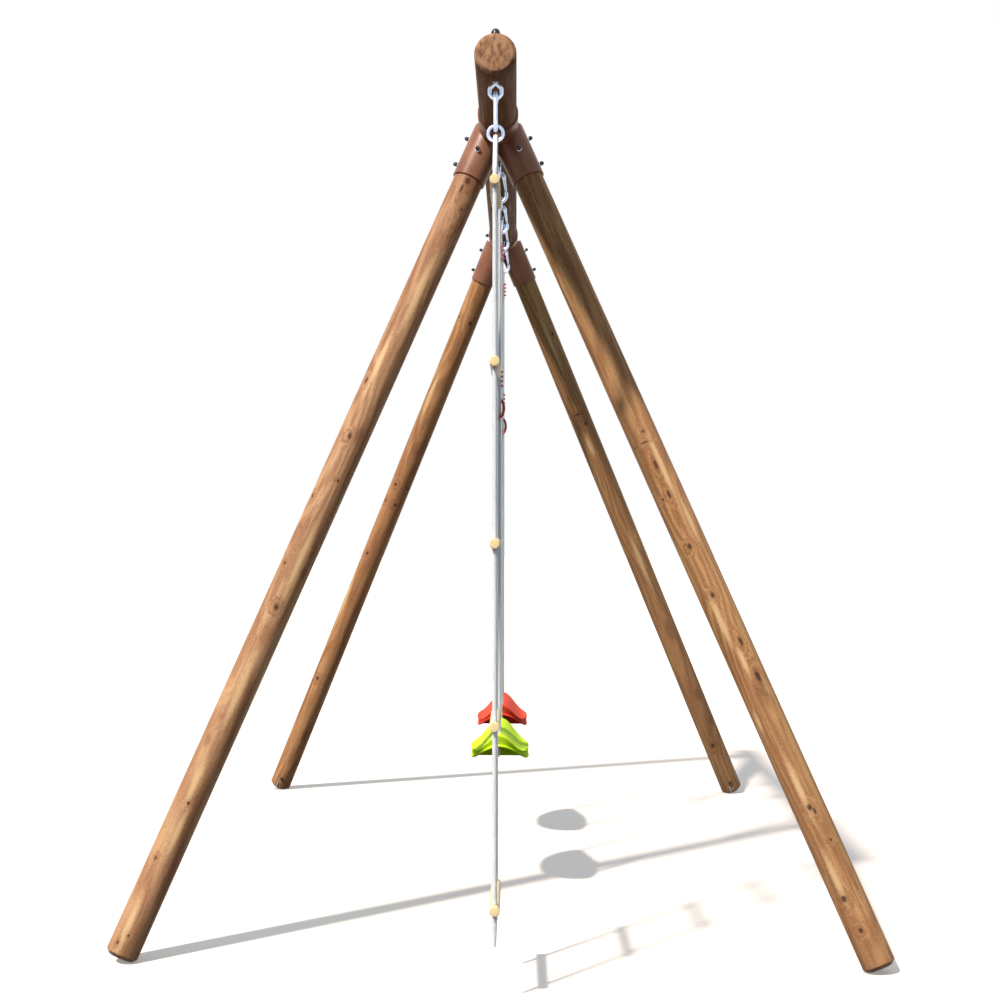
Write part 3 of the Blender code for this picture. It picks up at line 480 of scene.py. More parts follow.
def fillet(before, corner, after, radius, steps):
    """Points on the arc that rounds a corner."""
    into = (before - corner).normalized()
    out = (after - corner).normalized()
    half = into.angle(out) / 2
    reach = radius / math.tan(half)
    centre = corner + (into + out).normalized() * radius / math.sin(half)
    start = corner + into * reach - centre
    stop = corner + out * reach - centre
    sweep_angle = start.angle(stop)
    points = []
    for i in range(steps + 1):
        part = i / steps
        mixed = start * math.sin((1 - part) * sweep_angle) + stop * math.sin(part * sweep_angle)
        points.append(centre + mixed / math.sin(sweep_angle))
    return points


def dense(points, step):
    """The same line with no stretch between points longer than a step."""
    made = [points[0]]
    for a, b in zip(points, points[1:]):
        parts = max(1, math.ceil((b - a).length / step))
        made += [a.lerp(b, k / parts) for k in range(1, parts + 1)]
    return made


def block(name, size, middle, edge=0.0):
    """A box, with its edges rounded where an edge size is given."""
    work = bmesh.new()
    bmesh.ops.create_cube(work, size=1.0)
    bmesh.ops.scale(work, verts=work.verts, vec=size)
    bmesh.ops.translate(work, verts=work.verts, vec=middle)
    if edge:
        bmesh.ops.bevel(work, geom=work.edges[:], offset=edge, segments=2, affect="EDGES")
    return mesh_of(name, work)


def joined(name, meshes):
    """One mesh of several that stay separate shells."""
    work = bmesh.new()
    for mesh in meshes:
        work.from_mesh(mesh)
    return mesh_of(name, work)


def applied(obj, *helpers):
    """The mesh of an object under its modifiers. The object and its helpers are removed."""
    bpy.context.view_layer.update()
    mesh = bpy.data.meshes.new_from_object(obj.evaluated_get(bpy.context.evaluated_depsgraph_get()))
    for done in (obj, *helpers):
        bpy.data.objects.remove(done)
    return mesh


def carved(base, joins=(), cuts=()):
    """The base mesh with others joined to it and then others cut from it."""
    obj = linked(base.name, base)
    helpers = []
    for operation, others in (("UNION", joins), ("DIFFERENCE", cuts)):
        for other in others:
            helpers.append(linked("helper", other))
            step = obj.modifiers.new(other.name, "BOOLEAN")
            step.operation = operation
            step.solver = "EXACT"
            step.object = helpers[-1]
    return applied(obj, *helpers)


def moved(mesh, matrix):
    mesh = mesh.copy()
    mesh.transform(matrix)
    return mesh


def pose(place, direction):
    """A matrix that puts +Z along a direction at a place."""
    return Matrix.Translation(place) @ Vector(direction).to_track_quat("Z", "Y").to_matrix().to_4x4()


# Materials


def stained_timber(name, seed, marks, tones, gloss=0.1):
    """Stained round softwood: soft flames of yellow and pinkish brown, fibres, mottle, streaks and knots.

    The piece's own Z runs along the grain. Tones go from the dark flames to the light ones. A mark is its
    kind, its angle round the piece in degrees, its place along it, its half width and its half length, and
    there is at least one mark of each kind: a knot, a shade and a light one.
    """
    graph = Graph(name)
    place = graph.place()
    x, y, z = graph.split(place)
    seeded = graph.vector("ADD", place, (seed, 2.3 * seed, 0.7 * seed))

    def drawn(scale, stretch):
        """Noise drawn out along the grain."""
        return graph.noise(graph.vector("MULTIPLY", seeded, (1.0, 1.0, stretch)), scale, 3.0)

    # The pith wanders beside the axis, so the year rings come out as long tapered flames
    pith = graph.combine(seed * 3.7, seed * 1.9, graph.times(z, 0.9))
    pith = graph.vector("SUBTRACT", graph.noise(pith, 1.0, 2.0, output="Color"), (0.5, 0.5, 0.5))
    shift = (0.016 * math.cos(seed), 0.016 * math.sin(seed), 0.0)
    shift = graph.vector("ADD", graph.vector("MULTIPLY", pith, (0.15, 0.15, 0.0)), shift)
    radial = graph.vector("LENGTH", graph.vector("ADD", graph.combine(x, y, 0.0), shift))

    rough_edge = graph.math("MULTIPLY_ADD", graph.noise(seeded, 150.0, 2.0), 0.9, 0.55)
    layers = {}

    def add(layer, value):
        layers[layer] = graph.math("MAXIMUM", layers[layer], value) if layer in layers else value

    for kind, angle, along, wide, tall in marks:
        turned = math.radians(angle)
        centre = (LEG_RADIUS * math.cos(turned), LEG_RADIUS * math.sin(turned), along)
        away = graph.vector("SUBTRACT", place, centre)
        away = graph.vector("LENGTH", graph.vector("MULTIPLY", away, (1 / wide, 1 / wide, 1 / tall)))
        away = graph.times(away, rough_edge)
        if kind == "knot":
            add("knot", graph.ease(away, 0.35, 1.0, 1.0, 0.0))
            add("halo", graph.ease(away, 0.8, 3.0, 1.0, 0.0))
        else:
            add(kind, graph.ease(away, 0.25, 1.2, 1.0, 0.0))

    phase = graph.math("MULTIPLY_ADD", radial, 95.0, graph.times(drawn(30.0, 0.12), 2.2))
    phase = graph.math("MULTIPLY_ADD", layers["halo"], 1.4, phase)
    phase = graph.times(phase, 2 * math.pi)
    flame = graph.math("MULTIPLY_ADD", graph.math("SINE", phase), 0.5, 0.5)
    fine = graph.math("SINE", graph.times(phase, 4.3))
    level = graph.math("MULTIPLY_ADD", flame, 0.34, graph.times(drawn(15.0, 0.07), 0.9))
    base = graph.ramp(level, tones, (0.38, 0.62, 0.86))
    hue = graph.ease(drawn(9.0, 0.10), 0.42, 0.60)
    base = graph.mix(graph.times(hue, 0.35), base, "B37B5A")

    # Fine lines lie in patches, and fibres, mottle and specks everywhere
    patch = graph.ease(drawn(6.0, 0.25), 0.50, 0.62)
    lines = graph.times(graph.ease(fine, 0.1, 1.0), patch)
    base = graph.mix(graph.times(lines, 0.38), base, "7C5232")
    streak, fibre, mottle = drawn(110.0, 0.035), drawn(700.0, 0.03), graph.noise(seeded, 260.0, 2.0)
    for value, low, high, at_low, at_high, tint in (
        (streak, 0.52, 0.72, 0.00, 0.45, "8A5F3C"),
        (streak, 0.28, 0.42, 0.40, 0.00, "DDB382"),
        (fibre, 0.50, 0.80, 0.00, 0.22, "6B4628"),
        (mottle, 0.50, 0.72, 0.00, 0.28, "83573A"),
        (mottle, 0.28, 0.46, 0.22, 0.00, "DBB285"),
    ):
        base = graph.mix(graph.ease(value, low, high, at_low, at_high), base, tint)
    speck = graph.cells(graph.vector("MULTIPLY", seeded, (1.0, 1.0, 0.5)), 60.0)
    cluster = graph.ease(graph.noise(seeded, 5.0, 1.0), 0.50, 0.58)
    speck = graph.times(graph.ease(speck, 0.03, 0.10, 1.0, 0.0), cluster)
    # Shade marks darken the wood: some are its own dark patches, and some are painted shadow.
    for value, share, tint in (
        (speck, 0.70, "4A2F20"),
        (layers["light"], 0.75, "E0B988"),
        (layers["shade"], 0.55, "7A5238"),
        (layers["halo"], 0.30, "94603E"),
        (layers["knot"], 0.90, "493028"),
    ):
        base = graph.mix(graph.times(value, share), base, tint)
    depth = graph.math("MULTIPLY_ADD", lines, -0.3, graph.times(fibre, 0.6))
    depth = graph.math("MULTIPLY_ADD", speck, -0.5, depth)
    depth = graph.math("MULTIPLY_ADD", layers["knot"], -0.8, depth)

    # End grain shows mottled, with dark blotches drawn out one way
    end = graph.math("ABSOLUTE", graph.split(graph.place("Normal"))[2])
    end = graph.ease(end, 0.5, 0.66)
    blotch = graph.noise(graph.vector("MULTIPLY", seeded, (1.0, 0.42, 1.0)), 95.0, 3.0, 0.55)
    grain = graph.ramp(blotch, ("7C5646", "A27658", "BC8E6A"), (0.36, 0.47, 0.62))
    dark = graph.noise(graph.vector("MULTIPLY", seeded, (1.0, 0.45, 1.0)), 60.0, 1.0)
    grain = graph.mix(graph.ease(dark, 0.60, 0.70, 0.0, 0.6), grain, "6E4A3A")
    base = graph.mix(end, base, grain)
    graph.bump(depth, 0.0007)
    return graph.surface(base, graph.ease(streak, 0.3, 0.7, 0.42, 0.6), specular_ior_level=gloss)


def pale_wood():
    """Pale planed wood for rungs, with its own Z along the grain."""
    graph = Graph("pale_wood")
    place = graph.place()
    x, y, z = graph.split(place)
    pith = (graph.math("ADD", x, 0.02), graph.math("ADD", y, 0.011), graph.times(z, 0.06))
    ripple = graph.noise(graph.vector("MULTIPLY", place, (1.0, 1.0, 0.1)), 60.0, 3.0)
    radial = graph.vector("LENGTH", graph.combine(*pith))
    phase = graph.math("MULTIPLY_ADD", radial, 420.0, graph.times(ripple, 3.0))
    late = graph.ease(graph.math("FRACT", phase), 0.4, 0.95)
    fibre = graph.noise(graph.vector("MULTIPLY", place, (1.0, 1.0, 0.05)), 900.0, 2.0)
    base = graph.mix(graph.times(late, 0.45), "FFE3AC", "E9BE7C")
    base = graph.mix(graph.ease(fibre, 0.5, 0.8, 0.0, 0.3), base, "D9A968")
    graph.bump(graph.math("SUBTRACT", fibre, late), 0.0003)
    return graph.surface(base, 0.48)


def painted_steel():
    """Rust-brown satin paint over steel, with a faint unevenness and rubbed patches."""
    graph = Graph("rust_paint")
    place = graph.place()
    peel = graph.noise(place, 260.0, 2.0)
    cloud = graph.noise(place, 14.0, 3.0, 0.6)
    base = graph.ramp(cloud, ("835440", "905E45", "9A684E"))
    graph.bump(peel, 0.0002)
    return graph.surface(base, graph.ease(cloud, 0.3, 0.7, 0.36, 0.44), specular_ior_level=0.3)


def zinc(name, tint, low, high):
    """Plated steel, bluish and smooth, with a faint cloudiness and fine drawn scratches."""
    graph = Graph(name)
    place = graph.place()
    cloud = graph.noise(place, 24.0, 2.0, 0.5)
    scratch = graph.noise(graph.vector("MULTIPLY", place, (1.0, 1.0, 0.06)), 1600.0, 2.0)
    graph.bump(scratch, 0.00003)
    return graph.surface(graph.ramp(cloud, tint), graph.ease(cloud, 0.3, 0.7, low, high), metallic=1.0)


def braided_rope(name, tracer_every):
    """White braided cord: strands cross over and under at a slant, with a coloured tracer strand."""
    graph = Graph(name)
    u, v, _ = graph.split(graph.place("UV"))
    strands = 8.0
    slant = graph.times(v, 0.8)
    first = graph.times(graph.math("ADD", u, slant), strands)
    second = graph.times(graph.math("SUBTRACT", u, slant), strands)
    over = graph.math("ADD", graph.math("FLOOR", first), graph.math("FLOOR", second))
    over = graph.math("FLOORED_MODULO", over, 2.0)

    def crown(value, gain):
        """One strand's rounded section, from 0 at its edges to 1 in its middle."""
        side = graph.math("ABSOLUTE", graph.math("SUBTRACT", graph.math("FRACT", value), 0.5))
        side = graph.math("POWER", graph.times(side, 2.0), 2.0)
        return graph.math("SUBTRACT", 1.0, graph.times(side, gain))

    under = graph.math("SUBTRACT", 1.0, over)
    parts = []
    for strand, other, shown in ((first, second, under), (second, first, over)):
        raised = graph.times(crown(strand, 1.0), crown(other, 0.45))
        parts.append(graph.times(raised, shown))
    height = graph.math("ADD", *parts)
    marked = graph.math("FLOORED_MODULO", graph.math("FLOOR", first), tracer_every)
    marked = graph.times(graph.math("LESS_THAN", marked, 0.5), under)
    fleck = graph.ease(graph.noise(graph.place(), 45.0, 1.0), 0.50, 0.60)
    marked = graph.times(marked, fleck)
    yarn = graph.noise(graph.place(), 1500.0, 2.0)
    # Between the strands the white is painted a faint lilac shade, and the crowns are white.
    base = graph.mix(graph.ease(height, 0.1, 0.75), "F2F0FA", "FFFFFF")
    base = graph.mix(graph.times(marked, 0.5), base, "F0A58C")
    base = graph.mix(graph.ease(yarn, 0.5, 0.75, 0.0, 0.2), base, "C9C6D8")
    graph.bump(graph.math("MULTIPLY_ADD", yarn, 0.12, height), 0.0004)
    scatter = {"subsurface_weight": 1.0, "subsurface_radius": (1.0, 1.0, 1.0), "subsurface_scale": 0.010}
    return graph.surface(base, 0.82, specular_ior_level=0.2, **scatter)


def moulded_plastic(name, tones, roughness, gloss=0.4):
    """Coloured moulded plastic with a fine texture and slight flow marks."""
    graph = Graph(name)
    place = graph.place()
    flow = graph.noise(place, 9.0, 3.0, 0.6)
    fine = graph.noise(place, 900.0, 2.0)
    graph.bump(fine, 0.00012)
    matt = graph.ease(flow, 0.3, 0.7, roughness - 0.04, roughness + 0.06)
    return graph.surface(graph.ramp(flow, tones), matt, specular_ior_level=gloss)


# Timber frame


def timber_profile(radius, chamfer, start, stop):
    """The profile of a turned post with a softly broken chamfer at each end."""
    soft = 0.0015
    low = [(0, start), (radius - chamfer - soft, start), (radius - chamfer, start + 0.3 * soft)]
    low += [(radius - soft * 0.4, start + chamfer - soft * 0.4), (radius, start + chamfer + soft)]
    high = [(radius, stop - chamfer - soft), (radius - soft * 0.4, stop - chamfer + soft * 0.4)]
    high += [(radius - chamfer, stop - 0.3 * soft), (radius - chamfer - soft, stop), (0, stop)]
    count = 24
    span = high[0][1] - low[-1][1]
    sides = [(radius, low[-1][1] + span * i / count) for i in range(1, count)]
    return low + sides + high


def make_beam():
    low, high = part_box("top_beam")
    half = (high.y - low.y) / 2
    middle = Vector((0, (low.y + high.y) / 2, BEAM_HEIGHT))
    marks = (
        ("knot", -75, half, 0.004, 0.004),
        ("light", -110, half - 0.35, 0.008, 0.20),
        ("shade", 20, 0.9, 0.02, 0.3),
    )
    mesh = lathe("beam", timber_profile(BEAM_RADIUS, BEAM_CHAMFER, -half, half), 72)
    # The beam's tones are darker than the legs': painted shade for its underside, which is most of what is
    # seen of it.
    timber = stained_timber("timber_beam", 1.3, marks, ("57402E", "6A4E36", "7E5E40"), 0.01)
    piece("beam", mesh, timber, "frame", "timber", "top_beam", degrees=30, place=middle, turn=ALONG_BEAM)


def leg_lines(side, end):
    """A leg's place at the beam's height and its direction down."""
    return spot(side * LEG_OFFSET, end * FRAME_HALF, BEAM_HEIGHT), Vector(
        (side * LEG_DOWN.x, end * LEG_DOWN.y, LEG_DOWN.z)
    )


# Where the photograph shows the marks on each leg: column and row in its 1000 x 1000 pixels.
# Then the mark's half width round the leg and half length along it, in millimetres.
# A shade mark darkens a patch. Some are the wood's own dark patches, and some are painted shadow: the first
# front_left shade mark is the painted shadow of the knot beside it.
LEG_MARKS = {
    "front_left": {
        "knot": (
            (468, 181, 12, 15), (461.7, 188.6, 5, 20), (462, 210, 4, 6), (366.6, 380, 6, 11),
            (349.8, 436, 8.5, 12), (338, 481, 5, 6), (312.6, 495.7, 5, 10), (284.9, 563, 6, 8),
            (276.5, 607.4, 8.5, 11),
            (188.5, 803.4, 6.5, 7), (155.7, 858, 4.5, 7), (128.6, 935.8, 4.5, 6), (117.6, 942.4, 4.5, 7),
        ),
        "shade": ((359, 435, 16, 32), (303.8, 572, 13, 24), (208, 739, 13, 23)),
        "light": (
            (195, 783, 10.5, 78), (177, 833, 10.5, 83), (129, 925, 10.5, 94), (300, 560, 10, 130),
            (420, 290, 12, 140), (380, 360, 10, 110), (240, 690, 12, 120),
        ),
    },
    "front_right": {
        "knot": (
            (643, 431.4, 5, 5), (643.5, 443, 14, 3.5), (656, 465, 6, 20), (669, 494, 6, 15), (663, 500, 5, 5),
            (689.5, 546.4, 8, 10), (712.6, 595.4, 8, 10), (740.3, 641, 6.5, 18), (758.2, 676, 9, 22),
            (809.7, 807.4, 9, 12), (815, 811, 4.5, 12), (830.7, 839.5, 5, 6), (843.9, 899.2, 10, 12),
            (861, 931, 8.5, 9),
        ),
        "shade": ((762, 690, 23.5, 67),),
        "light": (
            (662, 466, 9, 111), (690, 520, 8, 79), (744, 662, 8, 47), (765, 684, 6.5, 36), (758, 722, 8, 36),
            (800, 790, 10.5, 103), (836, 880, 10.5, 88), (720, 620, 10.5, 90),
        ),
    },
    "rear_left": {
        "knot": (
            (459.1, 316.9, 7, 11), (470.3, 323.9, 8.5, 15), (395.4, 484.5, 8, 11), (385.6, 500, 7, 11),
            (395.4, 505.3, 10, 11), (408, 488.7, 7, 11), (367.4, 553.3, 8, 11), (317.2, 678.2, 8.5, 11),
        ),
        "shade": ((304.5, 735, 16.5, 38),),
        "light": ((430, 395, 12, 119), (345, 600, 12, 139)),
    },
    "rear_right": {
        "knot": ((552.6, 333.6, 7, 9), (585.9, 423.8, 8.5, 11), (577.5, 414.7, 18, 5), (712.9, 745.7, 9, 15)),
        "shade": ((669, 624.9, 16.5, 37), (697.6, 694.3, 16.5, 33), (711.8, 719.8, 16.5, 33)),
        "light": ((550, 340, 8, 157), (590, 445.6, 12, 56), (640, 560, 12, 137)),
    },
}
# Each leg has its own tones. Front_left's are paler and greyer than the rest, partly a painted sheen for its
# sunlit side.
LEG_TONES = {
    "front_left": ("96674A", "B28360", "C99D74"),
    "front_right": ("8B5E3C", "AA7A50", "C49363"),
    "rear_left": ("885B38", "AA784C", "C49160"),
    "rear_right": ("866040", "A87A50", "C19460"),
}


def seen_on_leg(matrix, column, row):
    """The angle round a leg, in degrees, and the place along it that lie at a column and row."""
    right, up, ahead = camera_axes()
    ray = ahead + right * ((column - CENTRE_COLUMN) / FOCAL_PIXELS)
    ray += up * ((FRAME_PIXELS / 2 - row) / FOCAL_PIXELS)
    inward = matrix.inverted()
    eye, ray = inward @ spot(*CAMERA_PLACE), inward.to_3x3() @ ray
    a = ray.x**2 + ray.y**2
    b = 2 * (eye.x * ray.x + eye.y * ray.y)
    c = eye.x**2 + eye.y**2 - LEG_RADIUS**2
    hit = eye + ray * ((-b - math.sqrt(b * b - 4 * a * c)) / (2 * a))
    return round(math.degrees(math.atan2(hit.y, hit.x))), round(hit.z, 3)


def leg_marks(name, matrix):
    """A leg's marks, as stained_timber takes them."""
    marks = []
    for kind, places in LEG_MARKS[name].items():
        for column, row, wide, tall in places:
            marks.append((kind, *seen_on_leg(matrix, column, row), wide / 1000, tall / 1000))
    return marks


def leg_start_stop():
    """Where a leg's round ends lie along its line."""
    start = (BEAM_SLEEVE + 0.0006) * math.hypot(LEG_DOWN.x, LEG_DOWN.z)
    start += LEG_DOWN.y * LEG_RADIUS - LEG_DOWN.x * LEG_OFFSET
    foot = (LEG_RADIUS - LEG_CHAMFER) * math.hypot(LEG_DOWN.x, LEG_DOWN.y) - 0.001
    return start, (BEAM_HEIGHT - foot) / -LEG_DOWN.z


def make_leg(name, side, end, seed):
    """One leg, with its foot worn flat on the ground."""
    place, down = leg_lines(side, end)
    start, stop = leg_start_stop()
    matrix = pose(place, down)
    mesh = lathe(name, timber_profile(LEG_RADIUS, LEG_CHAMFER, start, stop), 64)
    mesh.transform(matrix)
    work = bmesh.new()
    work.from_mesh(mesh)
    parts = work.verts[:] + work.edges[:] + work.faces[:]
    cut = bmesh.ops.bisect_plane(work, geom=parts, plane_co=(0, 0, 0), plane_no=(0, 0, -1), clear_outer=True)
    edges = [item for item in cut["geom_cut"] if isinstance(item, bmesh.types.BMEdge)]
    bmesh.ops.holes_fill(work, edges=edges, sides=0)
    work.to_mesh(mesh)
    work.free()
    mesh.transform(matrix.inverted())
    timber = stained_timber("timber_" + name, seed, leg_marks(name, matrix), LEG_TONES[name])
    turn = down.to_track_quat("Z", "Y")
    piece("post_" + name, mesh, timber, "frame", "timber", "leg_" + name, degrees=30, place=place, turn=turn)


# Corner sleeves


def sleeve_lines(side):
    """A leg sleeve's start and direction on the front corner, from the beam's axis."""
    return Vector((side * LEG_OFFSET, 0, 0)), Vector((side * LEG_DOWN.x, -LEG_DOWN.y, LEG_DOWN.z))


def weld_line(side):
    """The line where a leg sleeve's wall meets the beam sleeve's."""
    start, down = sleeve_lines(side)
    turn = down.to_track_quat("Z", "Y")
    points = []
    for angle in around(72):
        base = start + turn @ Vector((LEG_SLEEVE * math.cos(angle), LEG_SLEEVE * math.sin(angle), 0))
        a = down.x**2 + down.z**2
        b = 2 * (base.x * down.x + base.z * down.z)
        c = base.x**2 + base.z**2 - BEAM_SLEEVE**2
        root = b * b - 4 * a * c
        if root <= 0:
            continue
        along = (-b + math.sqrt(root)) / (2 * a)
        if along > LEG_SLEEVE_SPAN[0]:
            points.append(base + down * along)
    return points


def corner_screws():
    """Each screw's place and way out on the front corner, from the beam's axis."""
    screws = []
    for side in (-1, 1):
        start, down = sleeve_lines(side)
        ways = (Vector((side, 0, 0)), Vector((0, -1, 0)))
        outer, facing = ((way - down * way.dot(down)).normalized() for way in ways)
        facing = Quaternion(down, math.radians(-side * FACE_SCREW_TURN)) @ facing
        screws += [(start + down * along + outer * LEG_SLEEVE, outer) for along in OUTER_SCREWS]
        screws.append((start + down * FACE_SCREW + facing * LEG_SLEEVE, facing))
    screws.append((Vector((BEAM_SLEEVE, BEAM_SCREW, 0)), Vector((1, 0, 0))))
    return screws


def make_corners(paint, plastic, plate):
    """Both corner sleeves, with their welds, and the capped screws that hold the timber in them."""
    upright = Matrix.Rotation(math.radians(-90), 4, "X")
    body = lathe("corner", rounded(BEAM_SLEEVE, -SLEEVE_HALF, SLEEVE_HALF, RIM_ROUND), 96)
    body.transform(upright)
    joins, cuts = [], []
    bore = lathe("beam_bore", rounded(BEAM_BORE, -0.2, 0.2, 0.001), 96)
    bore.transform(upright)
    cuts.append(bore)
    welds = []
    start, _ = leg_start_stop()
    for side in (-1, 1):
        base, down = sleeve_lines(side)
        sleeve = lathe("leg_sleeve", rounded(LEG_SLEEVE, *LEG_SLEEVE_SPAN, RIM_ROUND), 80)
        hole = lathe("leg_bore", rounded(LEG_BORE, start - 0.0005, LEG_SLEEVE_SPAN[1] + 0.01, 0.001), 80)
        joins.append(moved(sleeve, pose(base, down)))
        cuts.append(moved(hole, pose(base, down)))
        line = weld_line(side)
        if len(line) > 2:
            welds.append(sweep("weld", line, 0.0016, 8, closed=len(line) == 72, normal=(0, 1, 0)))
    shell = carved(body, joins, cuts)
    corner = joined("corner", [shell, *welds])
    section = [(0, 0.0012), (0.0048, 0.0012), (0.0058, 0.0018), (0.006, 0.0055), (0.0057, 0.0088)]
    cap = lathe("screw_cap", section + [(0.0045, 0.0117), (0.0024, 0.0131), (0, 0.0135)], 24)
    section = [(0, -0.0006), (0.0070, -0.0006), (0.0070, 0.0010), (0.0064, 0.0014), (0, 0.0014)]
    washer = lathe("washer", section, 24)
    caps = joined("caps", [moved(cap, pose(place, out)) for place, out in corner_screws()])
    washers = joined("washers", [moved(washer, pose(place, out)) for place, out in corner_screws()])
    for end, angle in (("front", 0.0), ("rear", math.pi)):
        place = spot(0, -FRAME_HALF if end == "front" else FRAME_HALF, BEAM_HEIGHT)
        turn = Quaternion((0, 0, 1), angle)
        for name, mesh, material, slot, nodes in (
            ("corner_", corner, paint, "rust_paint", (f"bracket_{end}",)),
            ("screw_caps_", caps, plastic, "black_plastic", ()),
            ("screw_washers_", washers, plate, "zinc", ()),
        ):
            at = {"place": place, "turn": turn}
            piece(name + end, mesh.copy(), material, "frame", slot, *nodes, degrees=35, **at)


# Eye bolts, caps and snap hooks


def eye_mesh():
    """A bent eye with its bottom bar's middle at the origin, in the XZ plane."""
    corners = [(0.0070, 0), (0.01425, 0.0088), (0.01425, 0.0220), (0, EYE_TOP + 0.0030)]
    corners += [(-0.01425, 0.0220), (-0.01425, 0.0088), (-0.0070, 0)]
    corners = [Vector((x, 0, z)) for x, z in corners]
    points = []
    for i, corner in enumerate(corners):
        points += fillet(corners[i - 1], corner, corners[(i + 1) % len(corners)], 0.0072, 6)
    ring = sweep("eye", points, EYE_WIRE, 18, closed=True, normal=(0, 1, 0))
    top = BEAM_HEIGHT + BEAM_RADIUS + SHANK_STAND - HINGE_HEIGHT
    shank = lathe("shank", rounded(SHANK_RADIUS, EYE_TOP - 0.002, top, 0.0006), 24)
    collar = lathe("collar", [(0, EYE_TOP), (0.0068, EYE_TOP + 0.0015), (0.0066, EYE_TOP + 0.0038),
                              (0.005, EYE_TOP + 0.0049), (0, EYE_TOP + 0.0049)], 24)
    return joined("eye", [ring, shank, collar])


def cap_mesh():
    """A bell-shaped cap nut with a rolled foot, in section a solid of revolution with a blind hole."""
    points = [(0, SHANK_STAND + GAP), (0.0054, SHANK_STAND + GAP), (0.0054, 0.0), (CAP_RADIUS - 0.0006, 0.0)]
    shares = ((0.02, 1.0), (0.07, 1.0), (0.10, 0.975), (0.36, 0.965), (0.50, 0.93), (0.62, 0.87))
    shares += ((0.72, 0.79), (0.80, 0.70), (0.86, 0.57), (0.90, 0.44), (0.93, 0.30), (0.965, 0.16))
    shares += ((1.0, 0.0),)
    points += [(CAP_RADIUS * radius, CAP_HEIGHT * height) for height, radius in shares]
    return lathe("cap", points, 40)


def flare_point(centre, angle):
    radius, height = centre
    return Vector((radius * math.cos(angle), 0, height + radius * math.sin(angle)))


def hook_mesh():
    """A snap hook's bent body with its gate side at +X, the eye's bar at its origin."""
    points = []
    begin = HOOK_FLARE + math.radians(31)
    stop = math.pi - HOOK_FLARE
    points += [flare_point(HOOK_TOP, begin + (stop - begin) * i / 20) for i in range(21)]
    sweep_to = 2 * math.pi + HOOK_FLARE
    points += [flare_point(HOOK_BOTTOM, stop + (sweep_to - stop) * i / 30) for i in range(31)]
    nose = Vector((-math.sin(HOOK_FLARE), 0, math.cos(HOOK_FLARE)))
    points.append(points[-1] + nose * 0.008)
    wire = sweep("hook", points, HOOK_WIRE, 18, normal=(0, 1, 0), round_ends=True)
    neck = [flare_point(HOOK_TOP, HOOK_FLARE + math.radians(44) * (1 - i / 8)) for i in range(9)]
    tongue = sweep("tongue", neck, 0.0046, 16, normal=(0, 1, 0), flat=0.5, round_ends=True)
    end = [(0.0024, 0.0054), (0.0031, 0.0056), (0.0029, 0.0064), (0.0016, 0.0072), (0, 0.0074)]
    rivet = lathe("rivet", [(radius, -height) for radius, height in reversed(end)] + end, 20)
    across = Matrix.Rotation(math.pi / 2, 4, "X")
    rivet = moved(rivet, Matrix.Translation(flare_point(HOOK_TOP, HOOK_FLARE)) @ across)
    return joined("hook", [wire, tongue, rivet])


def gate_mesh():
    """A snap hook's gate: a rod with a forked knob, from the rivet down."""
    rod = sweep("gate", [(0, 0, -0.0050), (0, 0, -0.012), (0, 0, -0.024), (0, 0, -GATE_LENGTH)],
                [0.0046, 0.0043, 0.0042, 0.0042], 18, round_ends=True)
    cheeks = []
    for side in (-1, 1):
        cheek = lathe("cheek", rounded(KNOB_RADIUS, 0.0026, 0.0054, 0.0008), 28)
        cheeks.append(moved(cheek, Matrix.Rotation(side * math.pi / 2, 4, "X")))
    web = sweep("web", [(0, 0, -0.0060), (0, 0, -0.0100)], [0.0060, 0.0046], 18)
    mesh = joined("gate", [rod, web, *cheeks])
    mesh.transform(Matrix.Rotation(-HOOK_FLARE, 4, "Y"))
    return mesh


def make_hangers(plate, plastic):
    """The five eye bolts with their caps, and the snap hooks that hang from them."""
    eye, cap, hook, gate = eye_mesh(), cap_mesh(), hook_mesh(), gate_mesh()
    quarter, still = Quaternion((0, 0, 1), math.pi / 2), Quaternion()
    for name, along in HANGERS.items():
        body = "ladder_hook" if name == "ladder" else name.split("_")[0] + "_swing"
        eye_turn, hook_turn = (still, quarter) if name == "ladder" else (quarter, still)
        place = spot(0, along, HINGE_HEIGHT)
        top = spot(0, along, BEAM_HEIGHT + BEAM_RADIUS + GAP)
        pivot = HINGES[name + "_gate_hinge"]
        for label, mesh, material, rider, slot, node, where, turn in (
            ("eye_bolt_", eye, plate, "frame", "zinc", "eye_", place, eye_turn),
            ("cap_nut_", cap, plastic, "frame", "black_plastic", "cap_", top, still),
            ("snap_hook_", hook, plate, body, "zinc", "hook_", place, hook_turn),
            ("snap_gate_", gate, plate, name + "_gate", "zinc", "gate_", pivot, hook_turn),
        ):
            piece(label + name, mesh.copy(), material, rider, slot, node + name, place=where, turn=turn)


# Ropes


